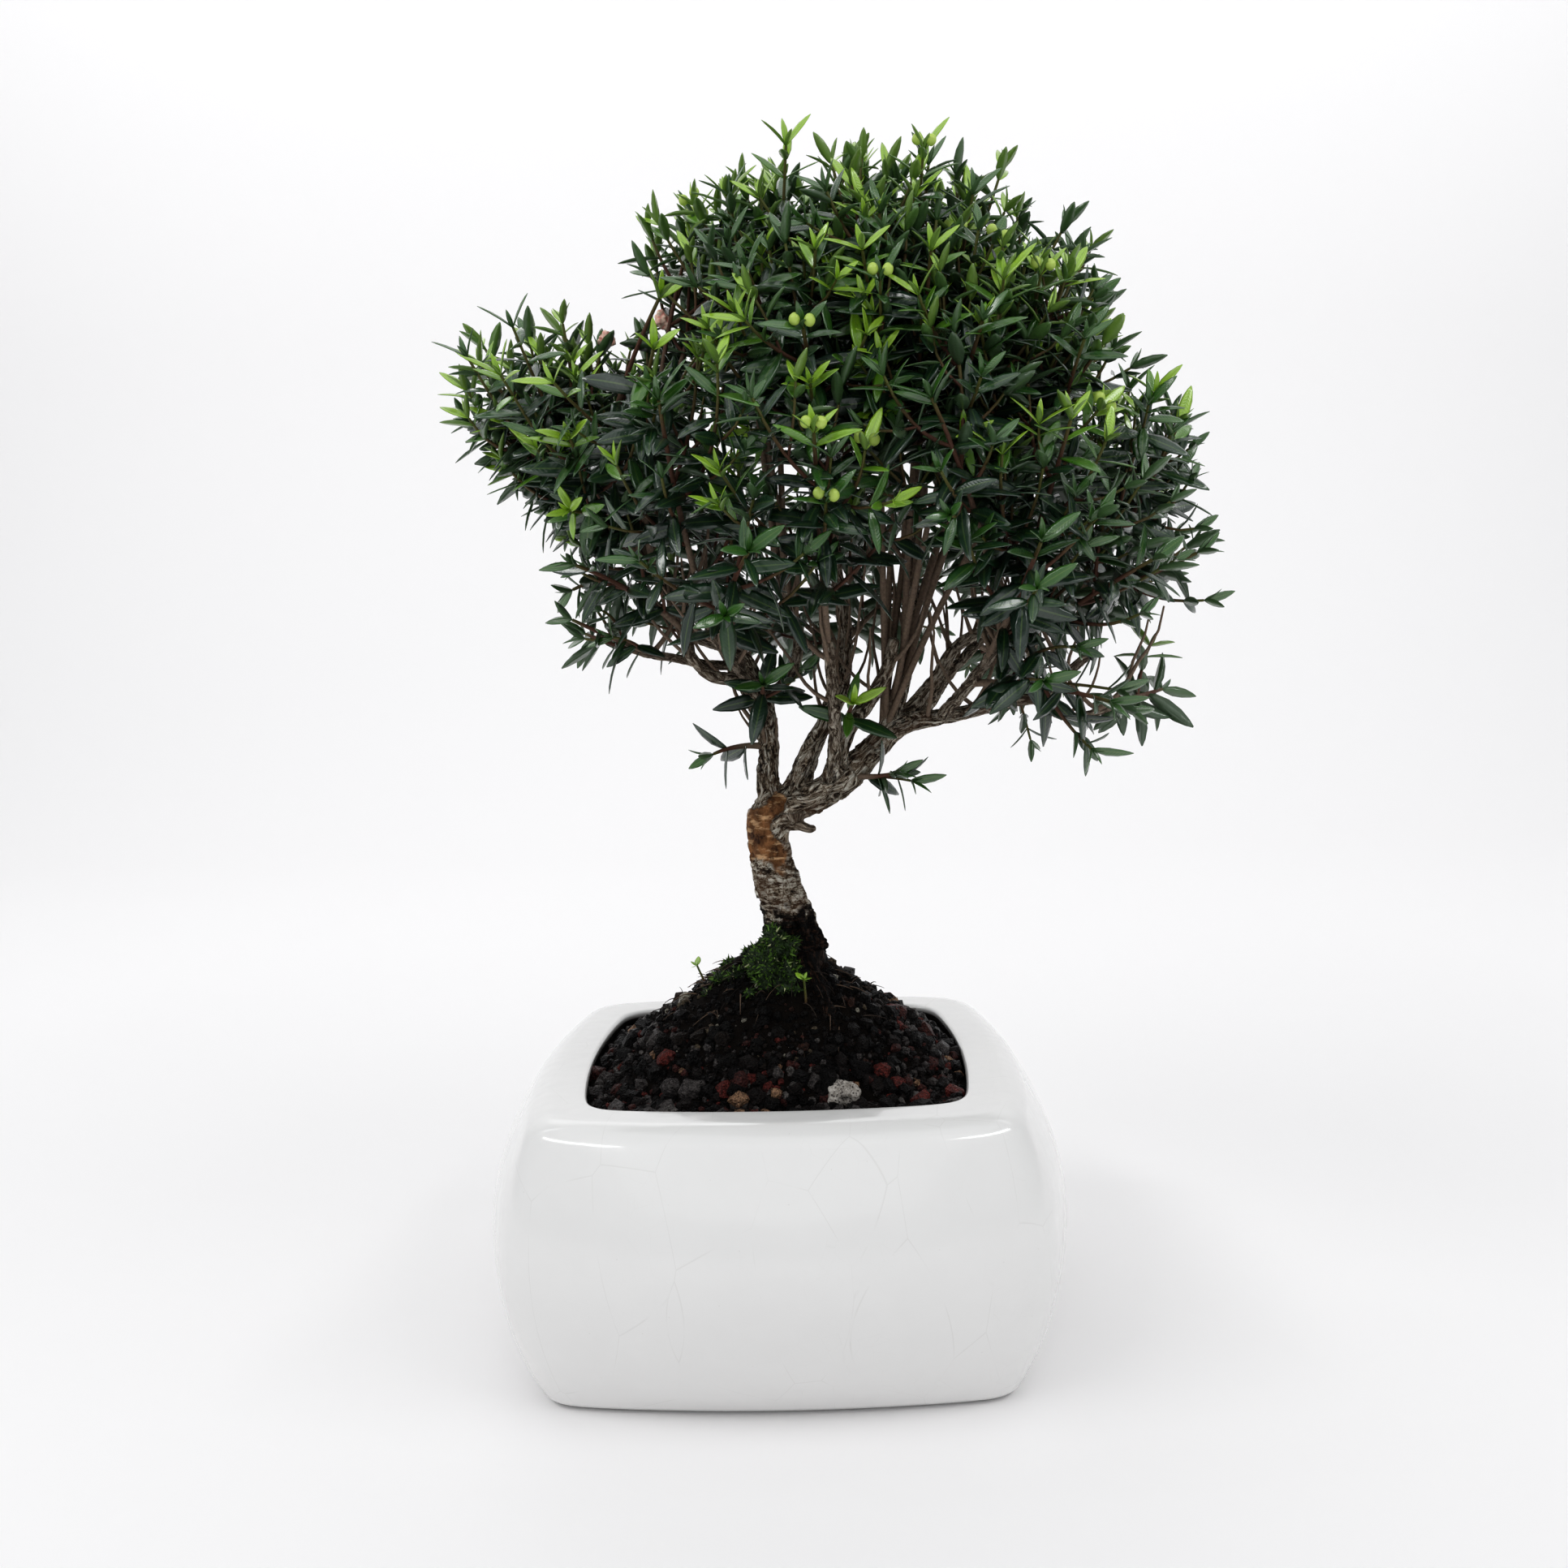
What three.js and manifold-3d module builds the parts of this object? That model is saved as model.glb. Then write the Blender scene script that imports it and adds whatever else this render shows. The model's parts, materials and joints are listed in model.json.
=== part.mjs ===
// Myrtle bonsai in a glazed square pot, modelled as its real pieces.
// All sizes are millimetres. X points right, Y away from the viewer and Z up.
// The origin is the centre of the pot's underside, on the table.

import * as THREE from 'three';
import { mergeVertices } from 'three/addons/utils/BufferGeometryUtils.js';
import Module from 'manifold-3d';

const wasm = await Module();
wasm.setup();

// Driving dimensions of the pot
const POT_HEIGHT = 80;
const POT_BASE_HALF = 64.2;
const POT_SIDE_BOW = 4.5;
const POT_SWELL = 8.2;
const POT_WIDENING = 0.6;
const POT_BOW_SWELL = 8;
const POT_BOW_WIDENING = 1.2;
const POT_CORNER = 9;
const POT_RIM_ROUND = 4.5;
const POT_BASE_ROUND = 3;
const MOUTH_HALF = 51.8;
const MOUTH_BOW = 4.6;
const LIP_ROUND = 1.2;
const POT_FLOOR = 8;
const DRAIN_HOLE_RADIUS = 7;
const DRAIN_HOLE_OFFSET = 30;

// Driving dimensions of the fill and what grows or lies on it
const CLEARANCE = 0.3;
const LYING_CLEARANCE = 0.39;
const SOIL_EDGE_LEVEL = 76;
const MOUND_CENTRE = new THREE.Vector2(1, 2);
const MOUND_HEIGHT = 40;
const MOUND_RADII = new THREE.Vector2(54, 47);
const MOUND_ROUNDNESS = 0.85;
const GRIT_RELIEF = 1;

// Driving dimensions of the crown: a dome around its centre, with a wing reaching out on the left
const CROWN_CENTRE = new THREE.Vector3(24, 2, 226);
const CROWN_RADII = new THREE.Vector3(103, 84, 112);
const LEFT_PULL_IN = 0.2;
const WING_REACH = 0.42;
const WING_ELEVATION = 29;
const WING_SPREAD = 10;

// Driving dimensions of a leafy spray
const SPRAY_LENGTH = 54;
const BRANCH_SPACING = 5.5;
const BRANCH_RADIUS = 1.2;
const BRANCH_ATTEMPTS = 9;
const LONG_BRANCH = 45;
const TWIG_RADIUS = 1.05;
const NODE_HEIGHT = 1.2;
const BUD_LENGTH = 2;
const SIDE_SHOOT_SHARES = [0.3, 0.6];
const SIDE_SHOOT_TURNS = [0, 2, 1];
const SIDE_SHOOT_LENGTH = 30;
const SIDE_SHOOT_SHARE_OF_TWIG = 0.62;
const SIDE_SHOOT_RADIUS = 0.85;
const LEAF_LENGTH = 16;
const LEAF_WIDTH = 5;
const LEAF_THICKNESS = 0.9;
const LEAF_SPREAD = 62;
const LEAF_DROOP = 0.28;
const LEAF_POSES = 5;
const LEAF_SMALLEST = 0.88;
const LEAF_LARGEST = 1.12;

// Places along a blade as shares of its length, and how far it drops there, also as shares
const BLADE_NEAR = 0.33;
const BLADE_RIB = 0.42;
const BLADE_FAR = 0.68;
const BLADE_FAR_WIDTH = 0.76;
const BLADE_FAR_DROP = 0.05;
const BLADE_TIP_DROP = 0.13;

const UP = new THREE.Vector3(0, 0, 1);
const WELD_DISTANCE = 0.001;

// A seeded draw between 0 and 1: the same for the same two whole numbers, every time
function draw(first, second) {
  const wave = Math.sin(first * 12.9898 + second * 78.233) * 43758.5453;
  return wave - Math.floor(wave);
}

// A seeded value between two bounds
function vary(low, high, first, second) {
  return low + (high - low) * draw(first, second);
}

// Steps to one side and the other in turn for later attempts: 0, 1, -1, 2, -2
function swing(attempt) {
  return Math.ceil(attempt / 2) * (attempt % 2 ? 1 : -1);
}

function vector(x, y, z) {
  return new THREE.Vector3(x, y, z);
}

function radians(degrees) {
  return degrees * Math.PI / 180;
}

// A geometry with shared vertices, as a solid that can be joined and cut
function toSolid(geometry, weld = WELD_DISTANCE / 10) {
  const bare = new THREE.BufferGeometry();
  bare.setAttribute('position', geometry.getAttribute('position'));
  bare.setIndex(geometry.getIndex());
  const merged = mergeVertices(bare, weld);
  const vertProperties = Float32Array.from(merged.getAttribute('position').array);
  const triVerts = Uint32Array.from(merged.getIndex().array);
  return new wasm.Manifold(new wasm.Mesh({ numProp: 3, vertProperties, triVerts }));
}

// The largest body of a solid, so that loose scraps and sealed hollows are left behind
function mainBody(solid) {
  const bodies = solid.decompose();
  return bodies.reduce((best, body) => (body.volume() > best.volume() ? body : best));
}

function toGeometry(solid) {
  const { vertProperties, triVerts } = solid.getMesh();
  const geometry = new THREE.BufferGeometry();
  geometry.setAttribute('position', new THREE.Float32BufferAttribute(vertProperties, 3));
  geometry.setIndex(Array.from(triVerts));
  return geometry;
}

// A named mesh of one body, after points that lie closer than the weld distance are joined
function toMesh(name, solid, finish) {
  const cleaned = mainBody(toSolid(toGeometry(mainBody(solid)), WELD_DISTANCE));
  const geometry = toGeometry(cleaned);
  geometry.computeVertexNormals();
  const mesh = new THREE.Mesh(geometry, new THREE.MeshStandardMaterial(finish));
  mesh.name = name;
  return mesh;
}

// A closed skin over a stack of loops that all have the same number of points. The diagonals of its
// faces lean one way, or the other way to lie flat against a skin that is stacked downwards.
function loft(loops, leanBack = false) {
  const count = loops[0].length;
  const positions = loops.flat().flatMap((point) => [point.x, point.y, point.z]);
  const index = [];
  for (let row = 0; row + 1 < loops.length; row += 1) {
    for (let step = 0; step < count; step += 1) {
      const here = row * count + step;
      const next = row * count + (step + 1) % count;
      if (leanBack) {
        index.push(here, next, here + count, next, next + count, here + count);
      } else {
        index.push(here, next, next + count, here, next + count, here + count);
      }
    }
  }
  const last = (loops.length - 1) * count;
  for (let step = 1; step + 1 < count; step += 1) {
    index.push(0, step + 1, step);
    index.push(last, last + step, last + step + 1);
  }
  const geometry = new THREE.BufferGeometry();
  geometry.setAttribute('position', new THREE.Float32BufferAttribute(positions, 3));
  geometry.setIndex(index);
  return toSolid(geometry);
}

// A tapering round stem through the points, whose fourth value is the radius there
function stem(route, sides, options = {}) {
  const { steps = route.length - 1, roughness = 0, seed = 0, grow = 0 } = options;
  const curve = new THREE.CatmullRomCurve3(route.map(([x, y, z]) => vector(x, y, z)));
  const loops = [];
  const across = vector(1, 0.3, 0.2);
  for (let step = 0; step <= steps; step += 1) {
    const share = step / steps;
    const centre = curve.getPoint(share);
    const tangent = curve.getTangent(share);
    across.addScaledVector(tangent, -across.dot(tangent)).normalize();
    const beside = vector().crossVectors(tangent, across);
    const place = share * (route.length - 1);
    const before = Math.min(Math.floor(place), route.length - 2);
    const radius = THREE.MathUtils.lerp(route[before][3], route[before + 1][3], place - before);
    const end = (step === steps ? grow : 0) - (step === 0 ? grow : 0);
    const loop = [];
    for (let side = 0; side < sides; side += 1) {
      const angle = 2 * Math.PI * side / sides + seed;
      const bark = 1 + roughness * (draw(seed + step, side) - 0.5);
      loop.push(centre.clone()
        .addScaledVector(across, Math.cos(angle) * (radius * bark + grow))
        .addScaledVector(beside, Math.sin(angle) * (radius * bark + grow))
        .addScaledVector(tangent, end));
    }
    loops.push(loop);
  }
  return loft(loops);
}

// A rounded lump with an uneven skin: a stone, a moss cushion or a bud
function lump(centre, radii, options) {
  const { rows, sides, roughness = 0.2, seed } = options;
  const loops = [];
  for (let row = 0; row < rows; row += 1) {
    const height = -Math.cos(Math.PI * (row + 0.5) / rows);
    const width = Math.sqrt(1 - height * height);
    const loop = [];
    for (let side = 0; side < sides; side += 1) {
      const angle = 2 * Math.PI * side / sides + seed;
      const uneven = 1 + roughness * (draw(seed + row, side) - 0.5);
      loop.push(vector(
        centre.x + Math.cos(angle) * width * radii.x * uneven,
        centre.y + Math.sin(angle) * width * radii.y * uneven,
        centre.z + height * radii.z,
      ));
    }
    loops.push(loop);
  }
  return loft(loops);
}

// A square outline with bowed sides and rounded corners, at one height
function bowedSquare(half, bow, height, sideSteps = 3) {
  const straight = 1 - POT_CORNER / half;
  const points = [];
  for (let side = 0; side < 4; side += 1) {
    const turn = side * Math.PI / 2;
    const place = (x, y) => vector(
      x * Math.cos(turn) - y * Math.sin(turn),
      x * Math.sin(turn) + y * Math.cos(turn),
      height,
    );
    for (let step = 0; step <= sideSteps; step += 1) {
      const along = straight * (2 * step / sideSteps - 1);
      points.push(place(along * half, -half - bow * (1 - along * along)));
    }
    const cornerStart = place(straight * half, -half - bow * (1 - straight * straight));
    const cornerEnd = place(half + bow * (1 - straight * straight), -straight * half);
    const bend = new THREE.QuadraticBezierCurve3(cornerStart, place(half, -half), cornerEnd);
    points.push(bend.getPoint(1 / 3), bend.getPoint(2 / 3));
  }
  return points;
}

// The pot: a slip-cast square bowl with a swelling wall, a flat inward rim and two drain holes
function potOuterLoop(height, inset = 0) {
  const share = height / POT_HEIGHT;
  const swell = 1 - (2 * share - 1) ** 2;
  const half = POT_BASE_HALF + POT_SWELL * swell + POT_WIDENING * share;
  const bow = POT_SIDE_BOW + POT_BOW_SWELL * swell + POT_BOW_WIDENING * share;
  return bowedSquare(half - inset, bow, height);
}

// Inner wall of the pot as height, half side and bow, from the lip down to the floor
const POT_INSIDE = [
  [79, MOUTH_HALF, MOUTH_BOW],
  [SOIL_EDGE_LEVEL, MOUTH_HALF, MOUTH_BOW],
  [72, MOUTH_HALF + 1, 4.8],
  [58, 64, 10.5],
  [36, 66, 12.5],
  [POT_FLOOR + 3, 61, 7.5],
  [POT_FLOOR, 57, 6],
];

function potSolid() {
  const round = 1 - Math.SQRT1_2;
  const outside = [
    potOuterLoop(0, POT_BASE_ROUND),
    potOuterLoop(POT_BASE_ROUND * round, POT_BASE_ROUND * round),
    potOuterLoop(POT_BASE_ROUND),
    ...[20, 40, 60].map((height) => potOuterLoop(height)),
    potOuterLoop(POT_HEIGHT - POT_RIM_ROUND),
    potOuterLoop(POT_HEIGHT - POT_RIM_ROUND * round, POT_RIM_ROUND * round),
    potOuterLoop(POT_HEIGHT, POT_RIM_ROUND),
    bowedSquare(MOUTH_HALF + LIP_ROUND, MOUTH_BOW, POT_HEIGHT),
  ];
  const inside = POT_INSIDE.map(([height, half, bow]) => bowedSquare(half, bow, height));
  let pot = loft([...outside, ...inside]);
  for (const side of [-1, 1]) {
    const drill = new THREE.CylinderGeometry(DRAIN_HOLE_RADIUS, DRAIN_HOLE_RADIUS, 4 * POT_FLOOR, 12);
    drill.rotateX(Math.PI / 2);
    drill.translate(side * DRAIN_HOLE_OFFSET, 0, POT_FLOOR / 2);
    pot = pot.subtract(toSolid(drill));
  }
  return pot;
}

// A square of plastic mesh over a drain hole, which keeps the soil in
const MESH_HALF = 10.5;
const MESH_THICKNESS = 0.9;
const MESH_BAR = 1.5;
const MESH_CELLS = 2;

function box(centre, size) {
  const geometry = new THREE.BoxGeometry(size.x, size.y, size.z);
  geometry.translate(centre.x, centre.y, centre.z);
  return toSolid(geometry);
}

function meshCentre(side) {
  return vector(side * DRAIN_HOLE_OFFSET, 0, POT_FLOOR + CLEARANCE + MESH_THICKNESS / 2);
}

function drainMeshSolid(side) {
  const centre = meshCentre(side);
  const cell = (2 * MESH_HALF - MESH_BAR) / MESH_CELLS;
  let sheet = box(centre, vector(2 * MESH_HALF, 2 * MESH_HALF, MESH_THICKNESS));
  for (let column = 0; column < MESH_CELLS; column += 1) {
    for (let row = 0; row < MESH_CELLS; row += 1) {
      const middle = (MESH_CELLS - 1) / 2;
      const offset = vector((column - middle) * cell, (row - middle) * cell, 0);
      const hole = vector(cell - MESH_BAR, cell - MESH_BAR, 3 * MESH_THICKNESS);
      sheet = sheet.subtract(box(centre.clone().add(offset), hole));
    }
  }
  return sheet;
}

// The fill: gritty soil that rises in a mound round the foot of the trunk
function soilHeight(x, y) {
  const distance = Math.hypot((x - MOUND_CENTRE.x) / MOUND_RADII.x, (y - MOUND_CENTRE.y) / MOUND_RADII.y);
  return SOIL_EDGE_LEVEL + MOUND_HEIGHT * Math.max(0, 1 - distance) ** MOUND_ROUNDNESS;
}

const SOIL_RINGS = [0.92, 0.76, 0.6, 0.44, 0.28, 0.13];

// The soil as one body, or raised by a lift to cut what lies on it
function soilSolid(lift = 0) {
  const walls = POT_INSIDE.slice(1).reverse()
    .map(([height, half, bow]) => bowedSquare(half - CLEARANCE, bow, height));
  walls[0].forEach((point) => point.setZ(POT_FLOOR + CLEARANCE));
  const edge = walls.at(-1);
  const top = SOIL_RINGS.map((share, ring) => edge.map((point, step) => {
    const x = THREE.MathUtils.lerp(MOUND_CENTRE.x, point.x, share);
    const y = THREE.MathUtils.lerp(MOUND_CENTRE.y, point.y, share);
    const grit = GRIT_RELIEF * (2 * draw(ring + 3, step) - 1);
    return vector(x, y, soilHeight(x, y) + grit + lift);
  }));
  return loft([...walls, ...top], true);
}

// Larger lumps of lava grit that stand out of the soil, placed round the mound by a seeded draw
const GRIT_LUMPS = 11;

function gritSolids() {
  const lumps = [];
  for (let grain = 0; grain < GRIT_LUMPS; grain += 1) {
    const angle = 2 * Math.PI * (grain + 0.7 * draw(grain, 1)) / GRIT_LUMPS;
    const reach = vary(27, 43, grain, 2);
    const x = MOUND_CENTRE.x * 0.4 + reach * Math.cos(angle);
    const y = reach * Math.sin(angle);
    const size = vary(2.6, 3.9, grain, 3);
    const centre = vector(x, y, soilHeight(x, y) + 0.4);
    lumps.push(lump(centre, vector(size, size * 0.85, size * 0.9), { rows: 2, sides: 4, seed: grain }));
  }
  return lumps;
}

// Trunk and limbs as hand-placed routes: X, Y, Z and the radius at each point
const TRUNK_ROUTE = [
  [13, 3, 78, 8.5], [11, 2, 90, 10.6], [9, 1, 100, 9.4], [7.5, 0, 109, 8.2], [5.5, 0, 117, 7.6],
  [3.6, 0, 125, 7.1], [0.6, 0, 134.5, 6.5], [-1.4, 0, 144.6, 6.2], [-0.8, 0, 152, 6.4], [2.5, -0.5, 157.5, 6],
];

// Surface roots run down the mound from the foot of the trunk: bearing in degrees and reach
const ROOTS = [[-68, 33], [5, 37], [110, 34], [178, 36]];

function rootRoute([bearing, reach]) {
  const shares = [[0.12, -2, 4.2], [0.4, -0.6, 2.9], [0.72, -0.8, 1.9], [1, -6, 1.1]];
  return shares.map(([share, sink, radius]) => {
    const x = MOUND_CENTRE.x + 7 + share * reach * Math.cos(radians(bearing));
    const y = MOUND_CENTRE.y - 1 + share * reach * Math.sin(radians(bearing));
    return [x, y, soilHeight(x, y) + sink, radius];
  });
}

const STUB_ROUTE = [[2, -1, 151, 3], [8.2, -3, 151, 2], [12.4, -4, 150.4, 1.3]];

const LIMBS = {
  right: [
    [1, 0, 155.5, 5.8], [12, -2, 158.5, 4.8], [23, -4, 165.6, 4.5], [31.8, -4, 174.5, 3.7],
    [39.5, -6, 180.5, 2.9], [55.7, -8, 183.4, 2.1], [70, -8, 186.7, 1.8], [81.7, -8, 188.6, 1.6],
    [88, -10, 195, 1.5], [94.6, -12, 201, 1.3],
  ],
  rightLow: [[78, -8, 188, 1.5], [86, -10, 182.6, 1.4], [93, -12, 182.5, 1.3], [101, -13, 185.5, 1.2]],
  rightUpright: [[72, -8, 187.3, 1.5], [77.5, -5, 199, 1.4], [80, -3, 209, 1.3]],
  rightUpper: [
    [37, -5, 179, 2.5], [49.4, 0, 192.9, 2], [57.3, 5, 203.4, 1.8], [68.4, 8, 208.5, 1.6],
    [79.6, 10, 210.8, 1.5], [94, 12, 212.1, 1.3],
  ],
  left: [
    [-0.5, 0, 155, 4], [-1.1, 2, 166.8, 3.2], [-0.7, 3, 175.6, 3], [-1, 3, 184, 2.7],
    [-1.8, 3, 190.2, 2.4],
  ],
  leftArm: [
    [-1.6, 3, 189, 2.2], [-10.3, -4, 194.8, 1.9], [-17.4, -6, 196.5, 1.8], [-23.1, -8, 202.9, 1.6],
    [-25, -9, 211, 1.4],
  ],
  leftArc: [
    [-1.8, 3, 189, 2.3], [-8.6, 8, 202.6, 2], [-17.3, 10, 206, 1.9], [-24.3, 8, 209.3, 1.9],
    [-30, 6, 221.2, 1.7], [-34, 5, 229, 1.5],
  ],
  leftWing: [[-33, 5, 226.5, 1.5], [-48.4, 3, 239, 1.4], [-58, 2, 249, 1.3]],
  leftLow: [[-6.9, 6.7, 199, 1.6], [-18, 1, 199.5, 1.4], [-28.4, -3, 201.7, 1.3], [-38, -4, 203.5, 1.2]],
  leftUpright: [[-1.4, 3, 188, 1.9], [7, 2, 197, 1.7], [9, 3, 209, 1.6], [3, 4, 228, 1.4], [2.2, 5, 237, 1.3]],
  middle: [
    [3, 1, 157, 3], [7.5, 0, 164.5, 2.6], [12.3, 0, 174.6, 2.4], [18.2, 0, 183.5, 2.3],
    [22, 0, 192.5, 2.3], [22.8, 0, 212.2, 2.1], [20.9, 0, 223.8, 2], [20.1, 0, 237.7, 1.9],
  ],
  innerRight: [
    [17, -4, 163.5, 2.8], [23.9, -8, 180.5, 2.3], [28.6, -9, 186.9, 2.2], [34.3, -11, 196, 2],
    [37, -15, 206, 1.7],
  ],
  rightStem: [
    [33, -5, 175.5, 2.7], [39.2, -4, 190.9, 2.3], [43.1, -3, 212.4, 2.1], [43, -2, 223.1, 2],
    [42, -1, 240, 1.8],
  ],
  back: [[7, 3, 158, 3.2], [14, 14, 174, 2.4], [20, 28, 190, 2], [24, 42, 208, 1.6]],
  backLeft: [[-0.8, 4, 176, 2.2], [-8, 15, 192, 1.8], [-18, 31, 208, 1.5]],
  backRight: [[44, -4, 181.5, 2.3], [55, 14, 194, 1.8], [69, 33, 206, 1.5]],
  front: [[19, -6, 167, 2.3], [19, -18, 186, 1.8], [17, -34, 206, 1.5]],
  frontRight: [[51, -8, 183, 2], [58, -21, 193, 1.7], [65, -38, 206, 1.4]],
  frontLeft: [[-1.4, 1, 184, 1.9], [-7, -14, 196, 1.5], [-15, -32, 208, 1.3]],
};

function trunkSolids(grow = 0) {
  const trunk = stem(TRUNK_ROUTE, 8, { roughness: 0.12, seed: 2, grow });
  const roots = ROOTS.map((root, number) => stem(rootRoute(root), 3, { seed: number, grow }));
  return [trunk, ...roots];
}

function limbSolids() {
  return Object.values(LIMBS).map((route, limb) => {
    const sides = route[0][3] > 3.5 ? 6 : 4;
    return stem(route, sides, { roughness: 0.1, seed: limb });
  });
}

// The place where a shoot leaves the crown, from its bearing and elevation in degrees
function crownPoint(bearing, elevation) {
  const left = Math.max(0, -Math.cos(radians(bearing))) ** 2;
  const wing = Math.exp(-(((elevation - WING_ELEVATION) / WING_SPREAD) ** 2));
  const reach = 1 + left * (WING_REACH * wing - LEFT_PULL_IN);
  const level = Math.cos(radians(elevation)) * reach;
  return vector(
    CROWN_CENTRE.x + CROWN_RADII.x * level * Math.cos(radians(bearing)),
    CROWN_CENTRE.y + CROWN_RADII.y * level * Math.sin(radians(bearing)),
    CROWN_CENTRE.z + CROWN_RADII.z * Math.sin(radians(elevation)) * (1 - left * 0.1),
  );
}

// Rings of sprays over the dome: name, count, elevation, first bearing and the arc they share
const CROWN_RINGS = [
  { name: 'top', count: 1, elevation: 88, start: 0, arc: 360 },
  { name: 'upper', count: 6, elevation: 65, start: 25, arc: 360 },
  { name: 'shoulder', count: 10, elevation: 42, start: 0, arc: 360 },
  { name: 'middle', count: 11, elevation: 20, start: 15, arc: 360 },
  { name: 'lower', count: 10, elevation: 0, start: 0, arc: 360 },
  { name: 'right_skirt', count: 3, elevation: -19, start: -42, arc: 126 },
  { name: 'left_skirt', count: 2, elevation: -7, start: 168, arc: 60 },
];

// Sprays that grow straight from a bare limb: start, bend and tip, and how many shoots they have
const LIMB_SPRAY_BARE = 0.3;
const LIMB_SPRAYS = [
  { name: 'fork', route: [[-1.6, 3, 187], [-2, -9, 190], [-1.5, -21, 194]], sideShoots: 2 },
  { name: 'left_limb', route: [[-0.8, 2.7, 174], [-9, -1, 176], [-17, -6, 173]], sideShoots: 1 },
  { name: 'bend', route: [[24, -4, 166], [29, -12, 165], [36, -16, 167]], sideShoots: 1 },
  { name: 'inner', route: [[23.9, -8, 180.5], [22, -16, 183], [24, -25, 188]], sideShoots: 2 },
];

// The limb whose end lies nearest to a tip
function nearestLimb(tip) {
  const distance = (name) => vector(...LIMBS[name].at(-1).slice(0, 3)).distanceTo(tip);
  return Object.keys(LIMBS).reduce((best, name) => (distance(name) < distance(best) ? name : best));
}

// The point that lies some way back from a limb's end, along its route
function pointOnLimb(name, back) {
  const points = LIMBS[name].map(([x, y, z]) => vector(x, y, z)).reverse();
  let left = back;
  let segment = 0;
  while (segment < points.length - 2 && left > points[segment].distanceTo(points[segment + 1])) {
    left -= points[segment].distanceTo(points[segment + 1]);
    segment += 1;
  }
  const step = points[segment].distanceTo(points[segment + 1]);
  return points[segment].clone().lerp(points[segment + 1], left / step);
}

// The plan of every spray: where its branch leaves a limb, where it heads, and where its tip lies
function sprayPlans() {
  const plans = [];
  const branchesOn = {};
  for (const ring of CROWN_RINGS) {
    for (let place = 0; place < ring.count; place += 1) {
      const number = plans.length + 1;
      const bearing = ring.start + ring.arc * (place + 0.5 * (draw(number, 1) - 0.5)) / ring.count;
      const elevation = ring.elevation + 6 * (draw(number, 2) - 0.5);
      const tip = crownPoint(bearing, elevation);
      const limb = nearestLimb(tip);
      branchesOn[limb] = (branchesOn[limb] ?? -1) + 1;
      const start = pointOnLimb(limb, 0.6 + BRANCH_SPACING * branchesOn[limb]);
      const heading = pointOnLimb(limb, 0).sub(pointOnLimb(limb, 8)).normalize();
      const length = start.distanceTo(tip);
      const bend = start.clone().lerp(tip, 0.4).addScaledVector(heading, 0.12 * length);
      const bare = THREE.MathUtils.clamp(1 - SPRAY_LENGTH / length, 0.15, 0.6);
      plans.push({ name: `spray_${ring.name}_${place + 1}`, number, start, bend, tip, bare, sideShoots: 2 });
    }
  }
  for (const { name, route, sideShoots } of LIMB_SPRAYS) {
    const [start, bend, tip] = route.map((point) => vector(...point));
    const number = plans.length + 1;
    plans.push({ name: `spray_${name}`, number, start, bend, tip, bare: LIMB_SPRAY_BARE, sideShoots });
  }
  return plans;
}

// The course of a spray's branch, swayed to one side or the other on later attempts
function sprayCurve({ number, start, bend, tip }, attempt) {
  const sway = 5 * swing(attempt);
  const angle = 2 * Math.PI * draw(number, 4);
  const aside = vector(Math.cos(angle), Math.sin(angle), 0.3).multiplyScalar(sway);
  return new THREE.QuadraticBezierCurve3(start, bend.clone().add(aside), tip);
}

// A stretch of a curve as a route of four-value points that narrows from one radius to another
function stretch(curve, from, to, startRadius, endRadius, steps) {
  const route = [];
  for (let step = 0; step <= steps; step += 1) {
    const share = step / steps;
    const point = curve.getPoint(THREE.MathUtils.lerp(from, to, share));
    route.push([point.x, point.y, point.z, THREE.MathUtils.lerp(startRadius, endRadius, share)]);
  }
  return route;
}

// Two directions square to a tangent, the first as level as it can be
function crossDirections(tangent) {
  const level = vector().crossVectors(tangent, Math.abs(tangent.z) > 0.95 ? vector(1, 0, 0) : UP).normalize();
  return [level, vector().crossVectors(level, tangent)];
}

// The skin of a spray: points and faces that grow from a square stem into leaves and side shoots
class Skin {
  points = [];

  faces = [];

  add(point) {
    this.points.push(point);
    return this.points.length - 1;
  }

  middle(corners) {
    const sum = corners.reduce((total, corner) => total.add(this.points[corner]), vector(0, 0, 0));
    return sum.divideScalar(corners.length);
  }

  solid() {
    const geometry = new THREE.BufferGeometry().setFromPoints(this.points);
    geometry.setIndex(this.faces.flat());
    return toSolid(geometry);
  }
}

// Four corners round a point of a stem, counted from below right of the tangent
function corners(centre, tangent, right, radius) {
  const up = vector().crossVectors(tangent, right);
  return [[-1, -1], [1, -1], [1, 1], [-1, 1]].map(([across, along]) => centre.clone()
    .addScaledVector(right, across * radius * Math.SQRT1_2)
    .addScaledVector(up, along * radius * Math.SQRT1_2));
}

// A keeled blade: two pairs of edge points, a tip that hangs and a raised midrib. A young blade has
// one pair of edge points only.
function bladePoints(root, along, face, length, width, young = false) {
  const side = vector().crossVectors(face, along);
  const at = (forward, sideways, lift) => root.clone()
    .addScaledVector(along, forward * length)
    .addScaledVector(side, sideways * width)
    .addScaledVector(face, lift);
  const pair = (forward, share, drop) => [-0.5, 0.5].map((half) => at(forward, half * share, -drop * length));
  const tip = at(1, 0, -BLADE_TIP_DROP * length);
  const rib = at(BLADE_RIB, 0, LEAF_THICKNESS);
  if (young) {
    return [...pair(BLADE_RIB, 1, 0), tip, rib];
  }
  return [...pair(BLADE_NEAR, 1, 0), ...pair(BLADE_FAR, BLADE_FAR_WIDTH, BLADE_FAR_DROP), tip, rib];
}

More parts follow.
